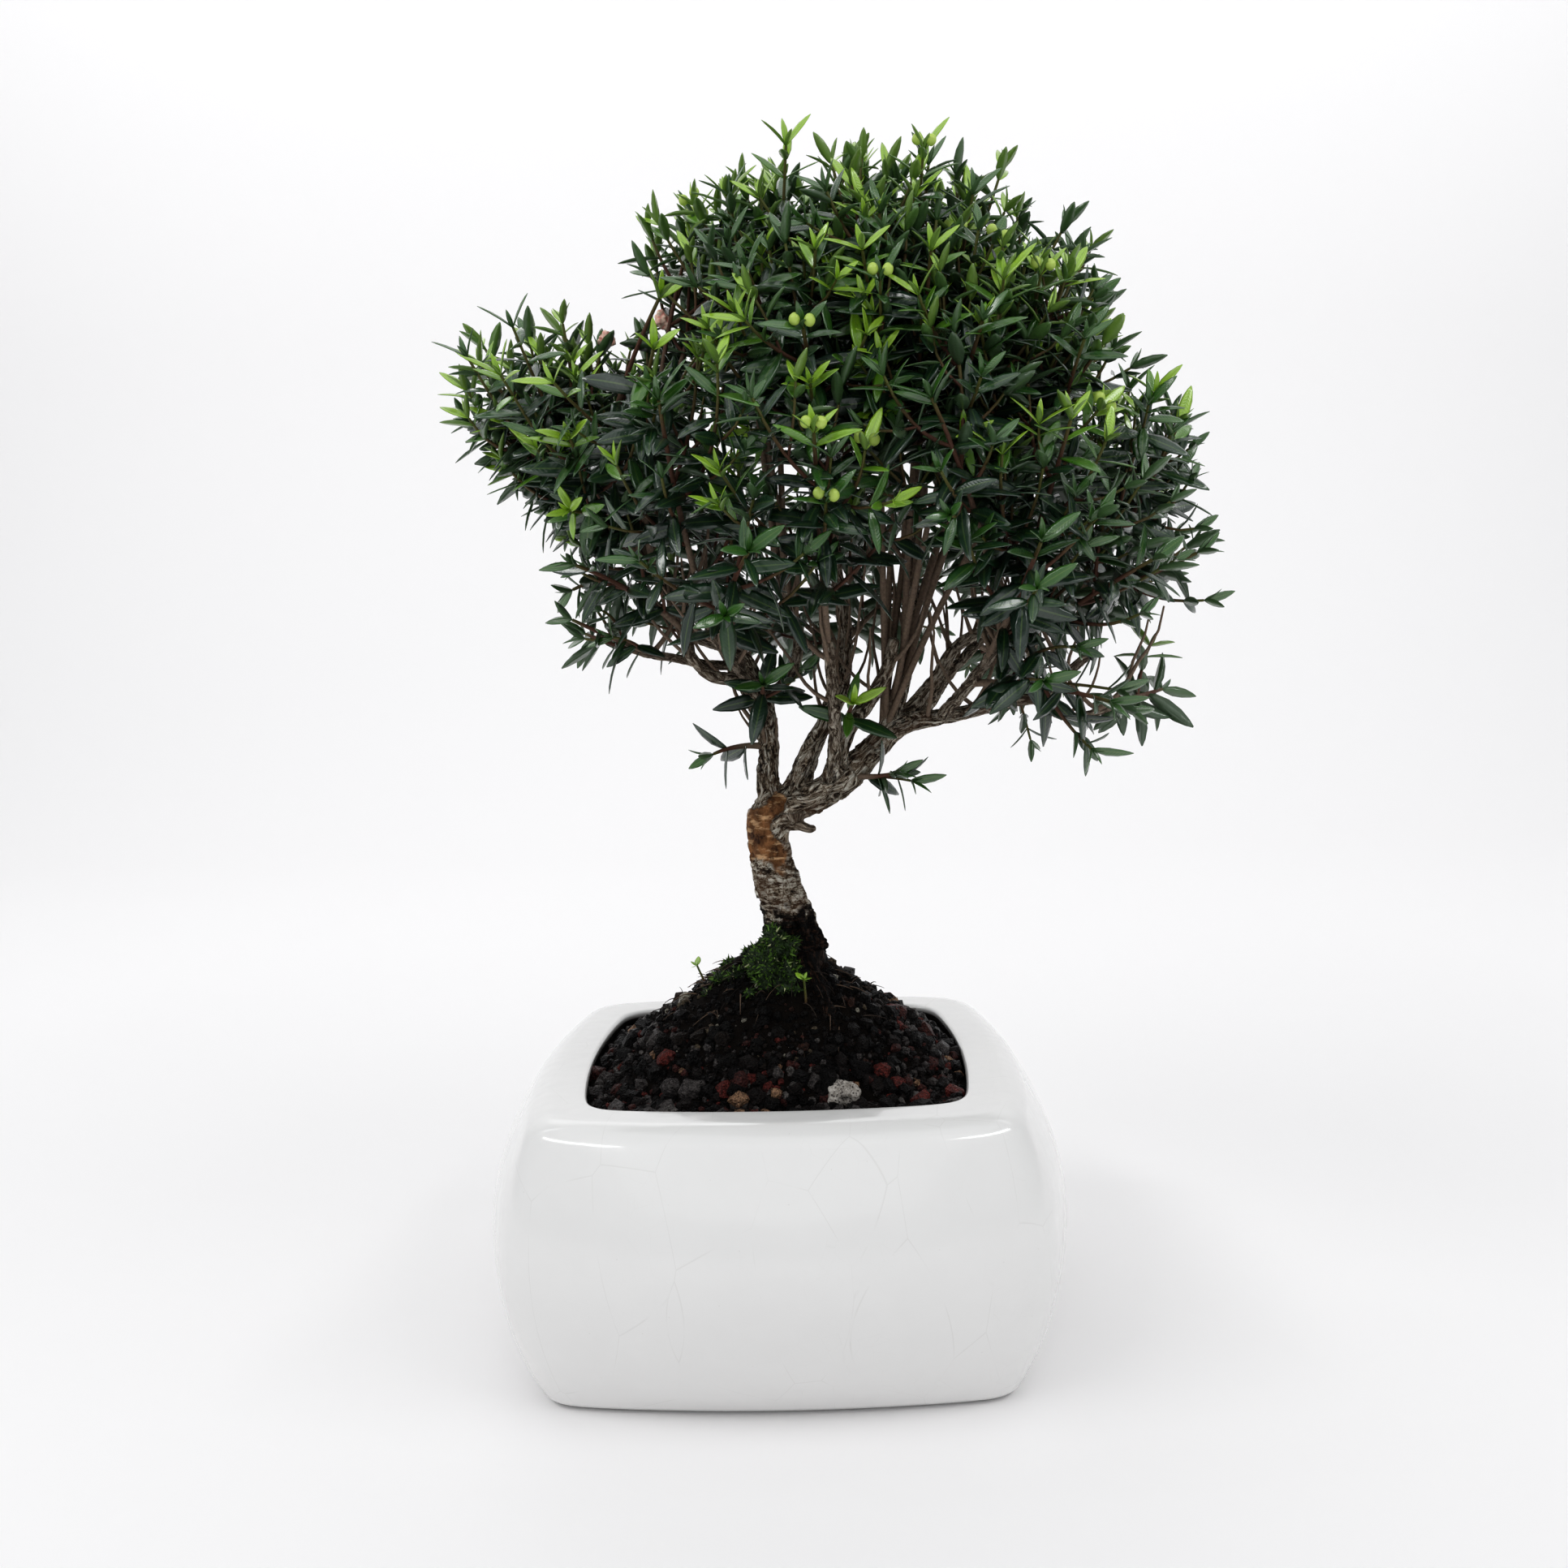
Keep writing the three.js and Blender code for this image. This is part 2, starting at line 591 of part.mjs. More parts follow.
// The blade grows from four corners on the stem, so that stem and blade are one skin
function addBlade(skin, [lowLeft, lowRight, highRight, highLeft], blade) {
  const numbers = blade.map((point) => skin.add(point));
  const [left, right] = numbers;
  const [tip, rib] = numbers.slice(-2);
  skin.faces.push(
    [lowLeft, right, left], [lowLeft, lowRight, right], [lowLeft, left, highLeft], [lowRight, highRight, right],
    [highLeft, left, rib], [highLeft, rib, highRight], [highRight, rib, right],
  );
  if (numbers.length === 4) {
    skin.faces.push([left, right, tip], [rib, left, tip], [rib, tip, right]);
    return;
  }
  const [, , farLeft, farRight] = numbers;
  skin.faces.push(
    [left, right, farRight], [left, farRight, farLeft], [farLeft, farRight, tip],
    [rib, left, farLeft], [rib, farLeft, tip], [rib, tip, farRight], [rib, farRight, right],
  );
}

// The tips of the shoots that have grown
const shootTips = [];

// Room that is taken in the crown: each stem and leaf as a solid of its own, under its stem's name
const taken = [];

function take(stemName, solid) {
  taken.push({ stemName, solid, box: solid.boundingBox() });
}

function boxesMeet(a, b) {
  return [0, 1, 2].every((axis) => a.min[axis] <= b.max[axis] && b.min[axis] <= a.max[axis]);
}

function isClear(solid, ownStems) {
  const box = solid.boundingBox();
  return taken.every((other) => (
    ownStems.includes(other.stemName) || !boxesMeet(box, other.box) || other.solid.intersect(solid).isEmpty()
  ));
}

// A blade as a solid of its own, a little plumper than the leaf, to test that it has room
function bladeRoom(root, along, face, length, width) {
  const blade = bladePoints(root, along, face, length, width * 1.08);
  const foot = root.clone().addScaledVector(along, 0.08 * length);
  const hull = [foot, ...blade].map((point, number) => (
    number === 6 ? point.addScaledVector(face, CLEARANCE) : point.addScaledVector(face, -CLEARANCE)
  ));
  const geometry = new THREE.BufferGeometry().setFromPoints(hull);
  geometry.setIndex([
    [0, 2, 1], [1, 2, 4], [1, 4, 3], [3, 4, 5],
    [0, 1, 6], [6, 1, 3], [6, 3, 5], [6, 5, 4], [6, 4, 2], [6, 2, 0],
  ].flat());
  return toSolid(geometry);
}

// A leaf on one side of a node, in the first of a few poses that has room: false if none has
function growLeaf(skin, base, tangent, outward, look, [stemName, nodeName]) {
  const root = skin.middle(base);
  for (let pose = 0; pose < LEAF_POSES; pose += 1) {
    const spread = radians(look.spread + vary(-6, 6, look.seed, 3) + 11 * swing(pose));
    const along = tangent.clone().multiplyScalar(Math.cos(spread)).addScaledVector(outward, Math.sin(spread));
    along.addScaledVector(UP, -look.droop).normalize();
    const face = tangent.clone().addScaledVector(along, -tangent.dot(along)).normalize();
    const size = look.size * vary(LEAF_SMALLEST, LEAF_LARGEST, look.seed, 4) * (1 - 0.04 * pose);
    const width = LEAF_WIDTH * size * (look.broad ?? 1);
    const room = bladeRoom(root, along, face, LEAF_LENGTH * size, width);
    if (isClear(room, [stemName, nodeName])) {
      take(nodeName, room);
      addBlade(skin, base, bladePoints(root, along, face, LEAF_LENGTH * size, width, look.young));
      return true;
    }
  }
  return false;
}

// A stem of a spray. Each node is a short square collar whose sides bear leaves or a side shoot.
// The planned course of a side shoot is tried first, so that it is bent clear of what stands there.
function growStem(skin, base, shoot) {
  const { curve, radius, nodes, name, seed } = shoot;
  const length = curve.getLength();
  let ring = base;
  const right = skin.points[base[1]].clone().sub(skin.points[base[0]]).normalize();
  const addRing = (share, size) => {
    const tangent = curve.getTangent(Math.min(share, 1));
    right.addScaledVector(tangent, -right.dot(tangent)).normalize();
    const points = corners(curve.getPoint(Math.min(share, 1)), tangent, right, size);
    return points.map((point) => skin.add(point));
  };
  const join = (lower, upper, side) => {
    const next = (side + 1) % 4;
    return [lower[side], lower[next], upper[next], upper[side]];
  };
  const close = ([a, b, c, d]) => skin.faces.push([a, b, c], [a, c, d]);
  nodes.forEach((node, number) => {
    const size = radius * (1 - 0.25 * node.share);
    const low = addRing(node.share, size);
    const high = addRing(node.share + NODE_HEIGHT / length, size * 0.96);
    const tangent = curve.getTangent(node.share);
    const up = vector().crossVectors(tangent, right);
    const outwards = [up.clone().negate(), right.clone(), up, right.clone().negate()];
    for (let side = 0; side < 4; side += 1) {
      close(join(ring, low, side));
      const collar = join(low, high, side);
      const look = { ...node, seed: seed + 10 * number + side };
      const labels = [name, `${name}_node_${number}`];
      const grown = node.sideShoot?.side === side
        ? growSideShoot(skin, collar, tangent, outwards[side], node.sideShoot, name)
        : node.leaves.includes(side) && growLeaf(skin, collar, tangent, outwards[side], look, labels);
      if (!grown) {
        close(collar);
      }
    }
    ring = high;
  });
  const tip = skin.add(skin.middle(ring).addScaledVector(curve.getTangent(1), BUD_LENGTH));
  shootTips.push({ point: skin.points[tip].clone(), tangent: curve.getTangent(1) });
  for (let side = 0; side < 4; side += 1) {
    skin.faces.push([ring[side], ring[(side + 1) % 4], tip]);
  }
}

// Leaves at a tip stand round the bud like a star, and those lower down spread and hang
const TIP_STAR = { leaves: [0, 1, 2, 3], spread: 46, droop: 0.05, size: 0.9 };

function sideShootCurve(start, tangent, outward, length, pose) {
  const lean = 0.6 + 0.12 * swing(pose);
  const bend = start.clone().addScaledVector(tangent, 0.3 * length).addScaledVector(outward, 0.38 * length);
  const tip = start.clone().addScaledVector(tangent, 0.8 * length).addScaledVector(outward, lean * length);
  return new THREE.QuadraticBezierCurve3(start, bend, tip.addScaledVector(UP, 0.1 * length));
}

function growSideShoot(skin, base, tangent, outward, plan, parentName) {
  const start = skin.middle(base);
  for (let pose = 0; pose < LEAF_POSES; pose += 1) {
    const curve = sideShootCurve(start, tangent, outward, plan.length, pose);
    const from = 1.5 / plan.length;
    const room = stem(stretch(curve, from, 1, 0.9, 0.9, 2), 4);
    if (isClear(room, [parentName])) {
      take(plan.name, room);
      const nodes = [{ share: 0.93, ...TIP_STAR, young: true }];
      growStem(skin, base, { curve, radius: SIDE_SHOOT_RADIUS, nodes, name: plan.name, seed: plan.seed });
      return true;
    }
  }
  return false;
}

// A small plant or flower on a square stalk of its own, closed at its foot
function plantletSolid(curve, radius, nodes, name, seed) {
  const skin = new Skin();
  const tangent = curve.getTangent(0);
  const [right] = crossDirections(tangent);
  const base = corners(curve.getPoint(0), tangent, right, radius).map((point) => skin.add(point));
  skin.faces.push([base[0], base[2], base[1]], [base[0], base[3], base[2]]);
  growStem(skin, base, { curve, radius, nodes, name, seed });
  return skin.solid();
}

// The twig of a spray carries on from its bare branch, a clearance further along
function sprayTwig(plan) {
  const gap = CLEARANCE / plan.curve.getLength();
  const route = stretch(plan.curve, plan.bare + gap, 1, TWIG_RADIUS, TWIG_RADIUS, 6);
  return new THREE.CatmullRomCurve3(route.map(([x, y, z]) => vector(x, y, z)));
}

function settleBranch(plan) {
  const bareAtFirst = plan.bare;
  for (let attempt = 0; attempt < BRANCH_ATTEMPTS; attempt += 1) {
    plan.curve = sprayCurve(plan, attempt);
    plan.bare = bareAtFirst + 0.03 * attempt;
    const twig = stem(stretch(plan.curve, plan.bare + CLEARANCE / plan.curve.getLength(), 1, 1.2, 1, 3), 4);
    const steps = plan.bare * plan.curve.getLength() > LONG_BRANCH ? 2 : 1;
    const bareWood = stretch(plan.curve, 0, plan.bare, BRANCH_RADIUS, TWIG_RADIUS, steps);
    plan.branch = stem(bareWood, 3, { seed: plan.number });
    if (isClear(twig, []) && isClear(plan.branch, woodNames)) {
      take(plan.name, twig);
      take(`branch_${plan.number}`, plan.branch);
      woodNames.push(`branch_${plan.number}`);
      return;
    }
  }
}

function spraySolid(plan) {
  const curve = sprayTwig(plan);
  const quarter = Math.floor(4 * draw(plan.number, 5));
  const nodes = SIDE_SHOOT_SHARES.slice(0, plan.sideShoots).map((share, number) => {
    const side = (quarter + SIDE_SHOOT_TURNS[number]) % 4;
    const longest = Math.min(SIDE_SHOOT_LENGTH, SIDE_SHOOT_SHARE_OF_TWIG * curve.getLength());
    const length = longest * vary(0.85, 1.15, plan.number, number + 6);
    const name = `${plan.name}_shoot_${number}`;
    return {
      share,
      sideShoot: { side, length, name, seed: 50 + 100 * plan.number + 20 * number },
      leaves: [(side + 1) % 4, (side + 3) % 4],
      spread: LEAF_SPREAD,
      droop: LEAF_DROOP,
      size: 1,
    };
  });
  nodes.push({ share: 0.95, ...TIP_STAR });
  return plantletSolid(curve, TWIG_RADIUS, nodes, plan.name, 100 * plan.number);
}

// Faded flowers, each on a short stalk at the tip of the shoot that lies nearest to its place
const FLOWERS = [
  { name: 'flower_upper', place: vector(-38, -10, 300) },
  { name: 'flower_lower', place: vector(-42, -15, 286) },
];
const FLOWER_STALK = 5;
const FLOWER_STALK_RADIUS = 0.7;
const PETALS = { share: 0.8, leaves: [0, 1, 2, 3], spread: 60, droop: 0, size: 0.38, broad: 1.5 };

function flowerSolid({ name, place }, number) {
  const nearest = shootTips.reduce((best, tip) => (
    tip.point.distanceTo(place) < best.point.distanceTo(place) ? tip : best
  ));
  shootTips.splice(shootTips.indexOf(nearest), 1);
  const foot = nearest.point.clone().addScaledVector(nearest.tangent, CLEARANCE);
  const head = foot.clone().addScaledVector(nearest.tangent, FLOWER_STALK);
  const stalk = new THREE.LineCurve3(foot, head);
  return plantletSolid(stalk, FLOWER_STALK_RADIUS, [PETALS], name, 7000 + 40 * number);
}

// Seedlings that have sprouted on the mound: foot, top, and how broad and long their leaves are
const SEEDLINGS = [
  { name: 'seedling_tall', foot: [-22, -2], top: [-24, -3, 108], size: 0.36, broad: 1.9 },
  { name: 'seedling_front', foot: [9, -18], top: [8.5, -19.5, 107], size: 0.3, broad: 1.5 },
];
const SEEDLING_RADIUS = 0.65;
const SEEDLING_DEPTH = 5;

function seedlingCurve({ foot: [x, y], top }) {
  const start = vector(x, y, soilHeight(x, y) - SEEDLING_DEPTH);
  return new THREE.QuadraticBezierCurve3(start, vector(x, y, top[2] - 3), vector(...top));
}

function seedlingSolid(seedling, number) {
  const { size, broad } = seedling;
  const leaves = { share: 0.92, leaves: [0, 1, 2, 3], spread: 66, droop: 0, size, broad };
  return plantletSolid(seedlingCurve(seedling), SEEDLING_RADIUS, [leaves], seedling.name, 8000 + 40 * number);
}

function seedlingHole(seedling) {
  return stem(stretch(seedlingCurve(seedling), 0, 0.9, 1, 1, 2), 5, { grow: CLEARANCE });
}

// A cushion of moss on the near side of the trunk's foot, and a pale stone that lies on the grit
const MOSS_CENTRE = vector(-5, -6, 107);
const MOSS_RADII = vector(10.5, 9.5, 11);
const STONE_PLACE = [19, -41.5];
const STONE_RADII = vector(5.2, 4, 3.6);
const STONE_RISE = 1.6;

function mossSolid() {
  return lump(MOSS_CENTRE, MOSS_RADII, { rows: 4, sides: 8, roughness: 0.25, seed: 5 });
}

function stoneSolid() {
  const centre = vector(...STONE_PLACE, soilHeight(...STONE_PLACE) + STONE_RISE);
  return lump(centre, STONE_RADII, { rows: 3, sides: 7, roughness: 0.3, seed: 8 });
}

// The trunk, its roots, limbs and bare branches are one grown piece
const trunkPieces = [...trunkSolids(), stem(STUB_ROUTE, 5), ...limbSolids()];
const woodNames = trunkPieces.map((piece, number) => `wood_${number}`);
trunkPieces.forEach((piece, number) => take(woodNames[number], piece));
const plans = sprayPlans();
plans.forEach(settleBranch);
const trunk = wasm.Manifold.union([...trunkPieces, ...plans.map((plan) => plan.branch)]);

// The soil has plain holes for the trunk, its roots and the seedlings, and a recess over each drain mesh
const plantedHoles = wasm.Manifold.union([...trunkSolids(CLEARANCE), ...SEEDLINGS.map(seedlingHole)]);
const meshRecesses = [-1, 1].map((side) => box(
  meshCentre(side),
  vector(2 * MESH_HALF + 2 * CLEARANCE, 2 * MESH_HALF + 2 * CLEARANCE, MESH_THICKNESS + 2 * CLEARANCE),
));
const soil = wasm.Manifold.union([soilSolid(), ...gritSolids()])
  .subtract(plantedHoles)
  .subtract(wasm.Manifold.union(meshRecesses));
const soilBelow = soilSolid(LYING_CLEARANCE);

const GLAZE = { color: 0xe9eaec, roughness: 0.15, metalness: 0 };
const PLASTIC = { color: 0x2c2d2c, roughness: 0.6, metalness: 0 };
const SOIL = { color: 0x241c19, roughness: 0.95, metalness: 0 };
const BARK = { color: 0x6f5a46, roughness: 0.85, metalness: 0 };
const LEAF = { color: 0x2c4a26, roughness: 0.4, metalness: 0 };
const SEEDLING = { color: 0x9bb04a, roughness: 0.5, metalness: 0 };
const MOSS = { color: 0x1f3318, roughness: 0.95, metalness: 0 };
const STONE = { color: 0xa39a91, roughness: 0.9, metalness: 0 };
const PETAL = { color: 0xd9a79a, roughness: 0.6, metalness: 0 };

const group = new THREE.Group();
group.add(toMesh('pot', potSolid(), GLAZE));
group.add(toMesh('drain_mesh_left', drainMeshSolid(-1), PLASTIC));
group.add(toMesh('drain_mesh_right', drainMeshSolid(1), PLASTIC));
group.add(toMesh('soil', soil, SOIL));
group.add(toMesh('moss', mossSolid().subtract(soilBelow).subtract(plantedHoles), MOSS));
group.add(toMesh('pumice_stone', stoneSolid().subtract(soilBelow), STONE));
group.add(toMesh('trunk', trunk, BARK));
plans.forEach((plan) => group.add(toMesh(plan.name, spraySolid(plan), LEAF)));
FLOWERS.forEach((flower, number) => group.add(toMesh(flower.name, flowerSolid(flower, number), PETAL)));
SEEDLINGS.forEach((seedling, number) => {
  group.add(toMesh(seedling.name, seedlingSolid(seedling, number), SEEDLING));
});

export default group;
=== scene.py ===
# %% [markdown]
# # A myrtle bonsai in a glazed square pot
#
# The real object is a small tree with thousands of narrow leaves, an old flaking trunk, dark lava
# grit and a white glazed bowl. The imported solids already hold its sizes, so this lesson dresses
# them: each plain solid is replaced by a finer piece in the same place. All measures below are
# millimetres, as a grower would read them, and become metres only when a mesh is made.

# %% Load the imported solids
import json
import math
import bmesh
import bpy
import numpy as np
from mathutils import Matrix, Vector, kdtree, noise

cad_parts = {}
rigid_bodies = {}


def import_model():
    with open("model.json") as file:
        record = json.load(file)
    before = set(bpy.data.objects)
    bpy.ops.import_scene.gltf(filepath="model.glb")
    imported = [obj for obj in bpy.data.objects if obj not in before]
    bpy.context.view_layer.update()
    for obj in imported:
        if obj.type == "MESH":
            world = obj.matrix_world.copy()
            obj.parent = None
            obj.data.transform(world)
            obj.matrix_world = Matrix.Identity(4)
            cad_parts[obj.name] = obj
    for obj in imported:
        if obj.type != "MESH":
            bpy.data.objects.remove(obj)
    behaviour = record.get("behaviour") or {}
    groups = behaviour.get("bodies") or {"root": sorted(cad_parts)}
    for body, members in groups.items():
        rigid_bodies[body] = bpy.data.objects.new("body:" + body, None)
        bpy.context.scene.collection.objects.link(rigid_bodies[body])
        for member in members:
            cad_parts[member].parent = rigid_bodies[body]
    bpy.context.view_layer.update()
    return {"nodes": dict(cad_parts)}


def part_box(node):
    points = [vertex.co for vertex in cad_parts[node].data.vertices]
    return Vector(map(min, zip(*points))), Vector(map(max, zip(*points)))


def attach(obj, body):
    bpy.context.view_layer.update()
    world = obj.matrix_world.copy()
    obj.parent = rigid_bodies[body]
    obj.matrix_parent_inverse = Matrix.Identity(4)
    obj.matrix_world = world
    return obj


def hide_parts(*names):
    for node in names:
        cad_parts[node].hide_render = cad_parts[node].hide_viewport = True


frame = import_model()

MM = 0.001
UP = Vector((0, 0, 1))
print("solids in the frame:", len(frame["nodes"]))


# %% [markdown]
# ## Repeatable chance
#
# A plant is never regular, yet a script must give the same plant each time. A hash of two whole
# numbers does both: it looks like chance, and it never changes. The first number stands for the
# piece, and the second for the choice that is made for it, such as a leaf's size. The solids were
# made with the same hash, so the same numbers put a twig in the same place here. Blender's vector
# noise takes its start from the clock unless it is given a seed, so it gets one first.

# %% Draws between two numbers, and a hold between 0 and 1
NOISE_SEED = 5
noise.seed_set(NOISE_SEED)


def draw(first, second):
    wave = math.sin(first * 12.9898 + second * 78.233) * 43758.5453
    return wave - math.floor(wave)


def spread(low, high, first, second):
    return low + (high - low) * draw(first, second)


def clamp(value):
    return max(0.0, min(1.0, value))


# %% [markdown]
# ## Node trees from Python
#
# Materials and Geometry Nodes are both trees of nodes. One small class wraps an output socket, so
# that number sums can be written as Python expressions, and one method adds any other node. The
# code then reads like the recipe of the finish instead of a list of links.

# %% Sockets that can be added and multiplied
class Wire:
    def __init__(self, maker, socket):
        self.maker = maker
        self.socket = socket

    def sum(self, operation, *values):
        return self.maker.node("ShaderNodeMath", {"operation": operation}, dict(enumerate(values)))

    def size(self):
        return self.sum("ABSOLUTE", self)

    def __add__(self, other):
        return self.sum("ADD", self, other)

    def __sub__(self, other):
        return self.sum("SUBTRACT", self, other)

    def __rsub__(self, other):
        return self.sum("SUBTRACT", other, self)

    def __mul__(self, other):
        return self.sum("MULTIPLY", self, other)

    def __pow__(self, other):
        return self.sum("POWER", self, other)

    __radd__ = __add__
    __rmul__ = __mul__


# %% Trees of nodes
class Tree:
    def __init__(self, tree):
        self.tree = tree

    def node(self, kind, settings=None, inputs=None, output=0):
        made = self.tree.nodes.new(kind)
        settings = dict(settings or {})
        self.set_stops(made, settings.pop("stops", ()))
        for key, value in settings.items():
            setattr(made, key, value)
        for name, value in (inputs or {}).items():
            if isinstance(value, Wire):
                self.tree.links.new(value.socket, made.inputs[name])
            else:
                made.inputs[name].default_value = value
        return Wire(self, made.outputs[output]) if made.outputs else None

    def set_stops(self, made, stops):
        """Each stop of a colour ramp is its position and its colour."""
        for number, (position, colour) in enumerate(stops):
            elements = made.color_ramp.elements
            element = elements[number] if number < len(elements) else elements.new(1.0)
            element.position = position
            element.color = (*colour, 1)


class Finish(Tree):
    """A material built on one Principled shader."""

    def __init__(self, name, **constants):
        self.material = bpy.data.materials.new(name)
        self.material.use_nodes = True
        super().__init__(self.material.node_tree)
        self.shader = self.tree.nodes["Principled BSDF"]
        for key, value in constants.items():
            self.shader.inputs[key.replace("_", " ")].default_value = value

    def feed(self, socket, wire):
        self.tree.links.new(wire.socket, self.shader.inputs[socket])

    def place(self):
        """Where a point of the piece is, in millimetres."""
        return self.scaled(self.node("ShaderNodeTexCoord", output="Object"), 1 / MM)

    def scaled(self, vector, scale):
        return self.node("ShaderNodeVectorMath", {"operation": "SCALE"}, {0: vector, "Scale": scale})

    def vectors(self, operation, first, second):
        return self.node("ShaderNodeVectorMath", {"operation": operation}, {0: first, 1: second})

    def parts(self, vector):
        """The x, y and z of a vector."""
        split = self.node("ShaderNodeSeparateXYZ", None, {0: vector}).socket.node
        return [Wire(self, socket) for socket in split.outputs]

    def attribute(self, name, output="Fac"):
        return self.node("ShaderNodeAttribute", {"attribute_name": name}, output=output)

    def noise(self, place, scale, detail=3.0, roughness=0.55):
        inputs = {"Vector": place, "Scale": scale, "Detail": detail, "Roughness": roughness}
        return self.node("ShaderNodeTexNoise", None, inputs)

    def cells(self, place, scale, feature="F1", output="Distance"):
        inputs = {"Vector": place, "Scale": scale}
        return self.node("ShaderNodeTexVoronoi", {"feature": feature}, inputs, output)

    def between(self, value, low, high):
        """0 below low, 1 above high and a straight rise between them."""
        inputs = {"Value": value, "From Min": low, "From Max": high}
        return self.node("ShaderNodeMapRange", None, inputs)

    def mix(self, share, first, second):
        settings = {"data_type": "RGBA", "clamp_factor": True}
        first, second = [c if isinstance(c, Wire) else (*c, 1) for c in (first, second)]
        return self.node("ShaderNodeMix", settings, {0: share, 6: first, 7: second}, 2)

    def ramp(self, value, stops, interpolation="LINEAR"):
        made = self.node("ShaderNodeValToRGB", {"stops": stops}, {"Fac": value})
        made.socket.node.color_ramp.interpolation = interpolation
        return made

    def bump(self, height, depth, strength=1.0):
        """Relief of a real depth in millimetres."""
        inputs = {"Height": height, "Distance": depth * MM, "Strength": strength}
        self.feed("Normal", self.node("ShaderNodeBump", None, inputs))


# %% [markdown]
# ## Putting a piece on the object
#
# Every piece rides on the one body of this object and may stand for solids of the frame, which it
# hides. One function does all of that, so no piece can be left behind.

# %% Meshes
def add_object(name, mesh, material=None, smooth=True):
    if material:
        mesh.materials.append(material)
    mesh.polygons.foreach_set("use_smooth", [smooth] * len(mesh.polygons))
    made = bpy.data.objects.new(name, mesh)
    bpy.context.scene.collection.objects.link(made)
    return made


def mesh_object(name, points, faces, material=None, smooth=True, edges=()):
    mesh = bpy.data.meshes.new(name)
    mesh.from_pydata([tuple(c * MM for c in point) for point in points], edges, faces)
    return add_object(name, mesh, material, smooth)


def built_object(name, made, material=None, smooth=True):
    """The object of a mesh that was worked on in metres with bmesh."""
    mesh = bpy.data.meshes.new(name)
    made.to_mesh(mesh)
    made.free()
    return add_object(name, mesh, material, smooth)


def store(mesh, name, values, kind="FLOAT", domain="POINT"):
    """Keeps a value at each point or face, which finishes and node trees can read."""
    field = "vector" if kind == "FLOAT_VECTOR" else "value"
    mesh.attributes.new(name, kind, domain).data.foreach_set(field, values)


# %% Pieces
def settle(piece, slot, *nodes):
    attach(piece, "root")
    if nodes:
        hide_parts(*nodes)
    piece.data.calc_loop_triangles()
    print(piece.name, "triangles", len(piece.data.loop_triangles))
    return piece


def bake(piece, sharp_angle=None):
    """Turns a piece with modifiers into a plain mesh."""
    shown = piece.evaluated_get(bpy.context.evaluated_depsgraph_get())
    plain = bpy.data.meshes.new_from_object(shown)
    piece.modifiers.clear()
    piece.data = plain
    if sharp_angle is not None:
        plain.set_sharp_from_angle(angle=math.radians(sharp_angle))
    return piece


def discard(*objects):
    for item in objects:
        bpy.data.objects.remove(item)


# %% [markdown]
# ## The camera
#
# The photograph was taken from a little above the middle of the crown, looking slightly down. The
# place and the tilts below come from the pot's outline in it, so the render can be laid over it.

# %% Camera
CAMERA_PLACE = Vector((7.9, -441.4, 209.3))
CAMERA_TILT = {"down": 6.0, "yaw": -0.54, "roll": -1.27}
FOCAL_PIXELS = 1802
PHOTO_PIXELS = 1932
SENSOR_WIDTH = 36.0


def camera_axes():
    down, yaw, roll = [math.radians(CAMERA_TILT[key]) for key in ("down", "yaw", "roll")]
    forward = Vector((math.sin(yaw) * math.cos(down), math.cos(yaw) * math.cos(down), -math.sin(down)))
    level = Vector((math.cos(yaw), -math.sin(yaw), 0))
    upright = level.cross(forward)
    right = level * math.cos(roll) + upright * math.sin(roll)
    return right, upright * math.cos(roll) - level * math.sin(roll), forward


def photo_pixel(point):
    """Where a place on the object lands in the 1932 pixel photograph."""
    right, up, forward = camera_axes()
    seen = Vector(point) - CAMERA_PLACE
    scale = FOCAL_PIXELS / seen.dot(forward)
    return PHOTO_PIXELS / 2 + seen.dot(right) * scale, PHOTO_PIXELS / 2 - seen.dot(up) * scale


camera = bpy.data.objects.new("camera", bpy.data.cameras.new("camera"))
bpy.context.scene.collection.objects.link(camera)
camera.data.sensor_width = SENSOR_WIDTH
camera.data.lens = SENSOR_WIDTH * FOCAL_PIXELS / PHOTO_PIXELS
camera.data.clip_start = 0.01
axes = camera_axes()
camera.matrix_world = Matrix.Translation(CAMERA_PLACE * MM) @ Matrix(
    (axes[0], axes[1], -axes[2])
).transposed().to_4x4()
bpy.context.scene.camera = camera
print("the pot's centre lands at", photo_pixel((0, 0, 0)))


# %% [markdown]
# ## Floor and light
#
# The tree stands on a white sweep, a sheet that curves up behind the object, so there is no
# horizon. Large soft lights and a bright surround leave only a pale shadow round the pot.

# %% The white sweep
SWEEP_FRONT, SWEEP_BACK, SWEEP_CURVE, SWEEP_TOP, SWEEP_SIDE = -2500, 900, 600, 2600, 3000
SWEEP_STEPS = 16


def sweep_profile():
    """The sweep seen from the side, as y and z from front to back."""
    line = [(SWEEP_FRONT, 0)]
    for step in range(SWEEP_STEPS + 1):
        angle = math.pi / 2 * step / SWEEP_STEPS
        line.append((SWEEP_BACK + SWEEP_CURVE * math.sin(angle), SWEEP_CURVE * (1 - math.cos(angle))))
    return line + [(SWEEP_BACK + SWEEP_CURVE, SWEEP_TOP)]


profile = sweep_profile()
sweep_points = [(side * SWEEP_SIDE, y, z) for y, z in profile for side in (-1, 1)]
sweep_faces = [(2 * i, 2 * i + 1, 2 * i + 3, 2 * i + 2) for i in range(len(profile) - 1)]
paper = Finish("white_paper", Base_Color=(0.915, 0.905, 0.905, 1), Roughness=0.7)
mesh_object("sweep", sweep_points, sweep_faces, paper.material)

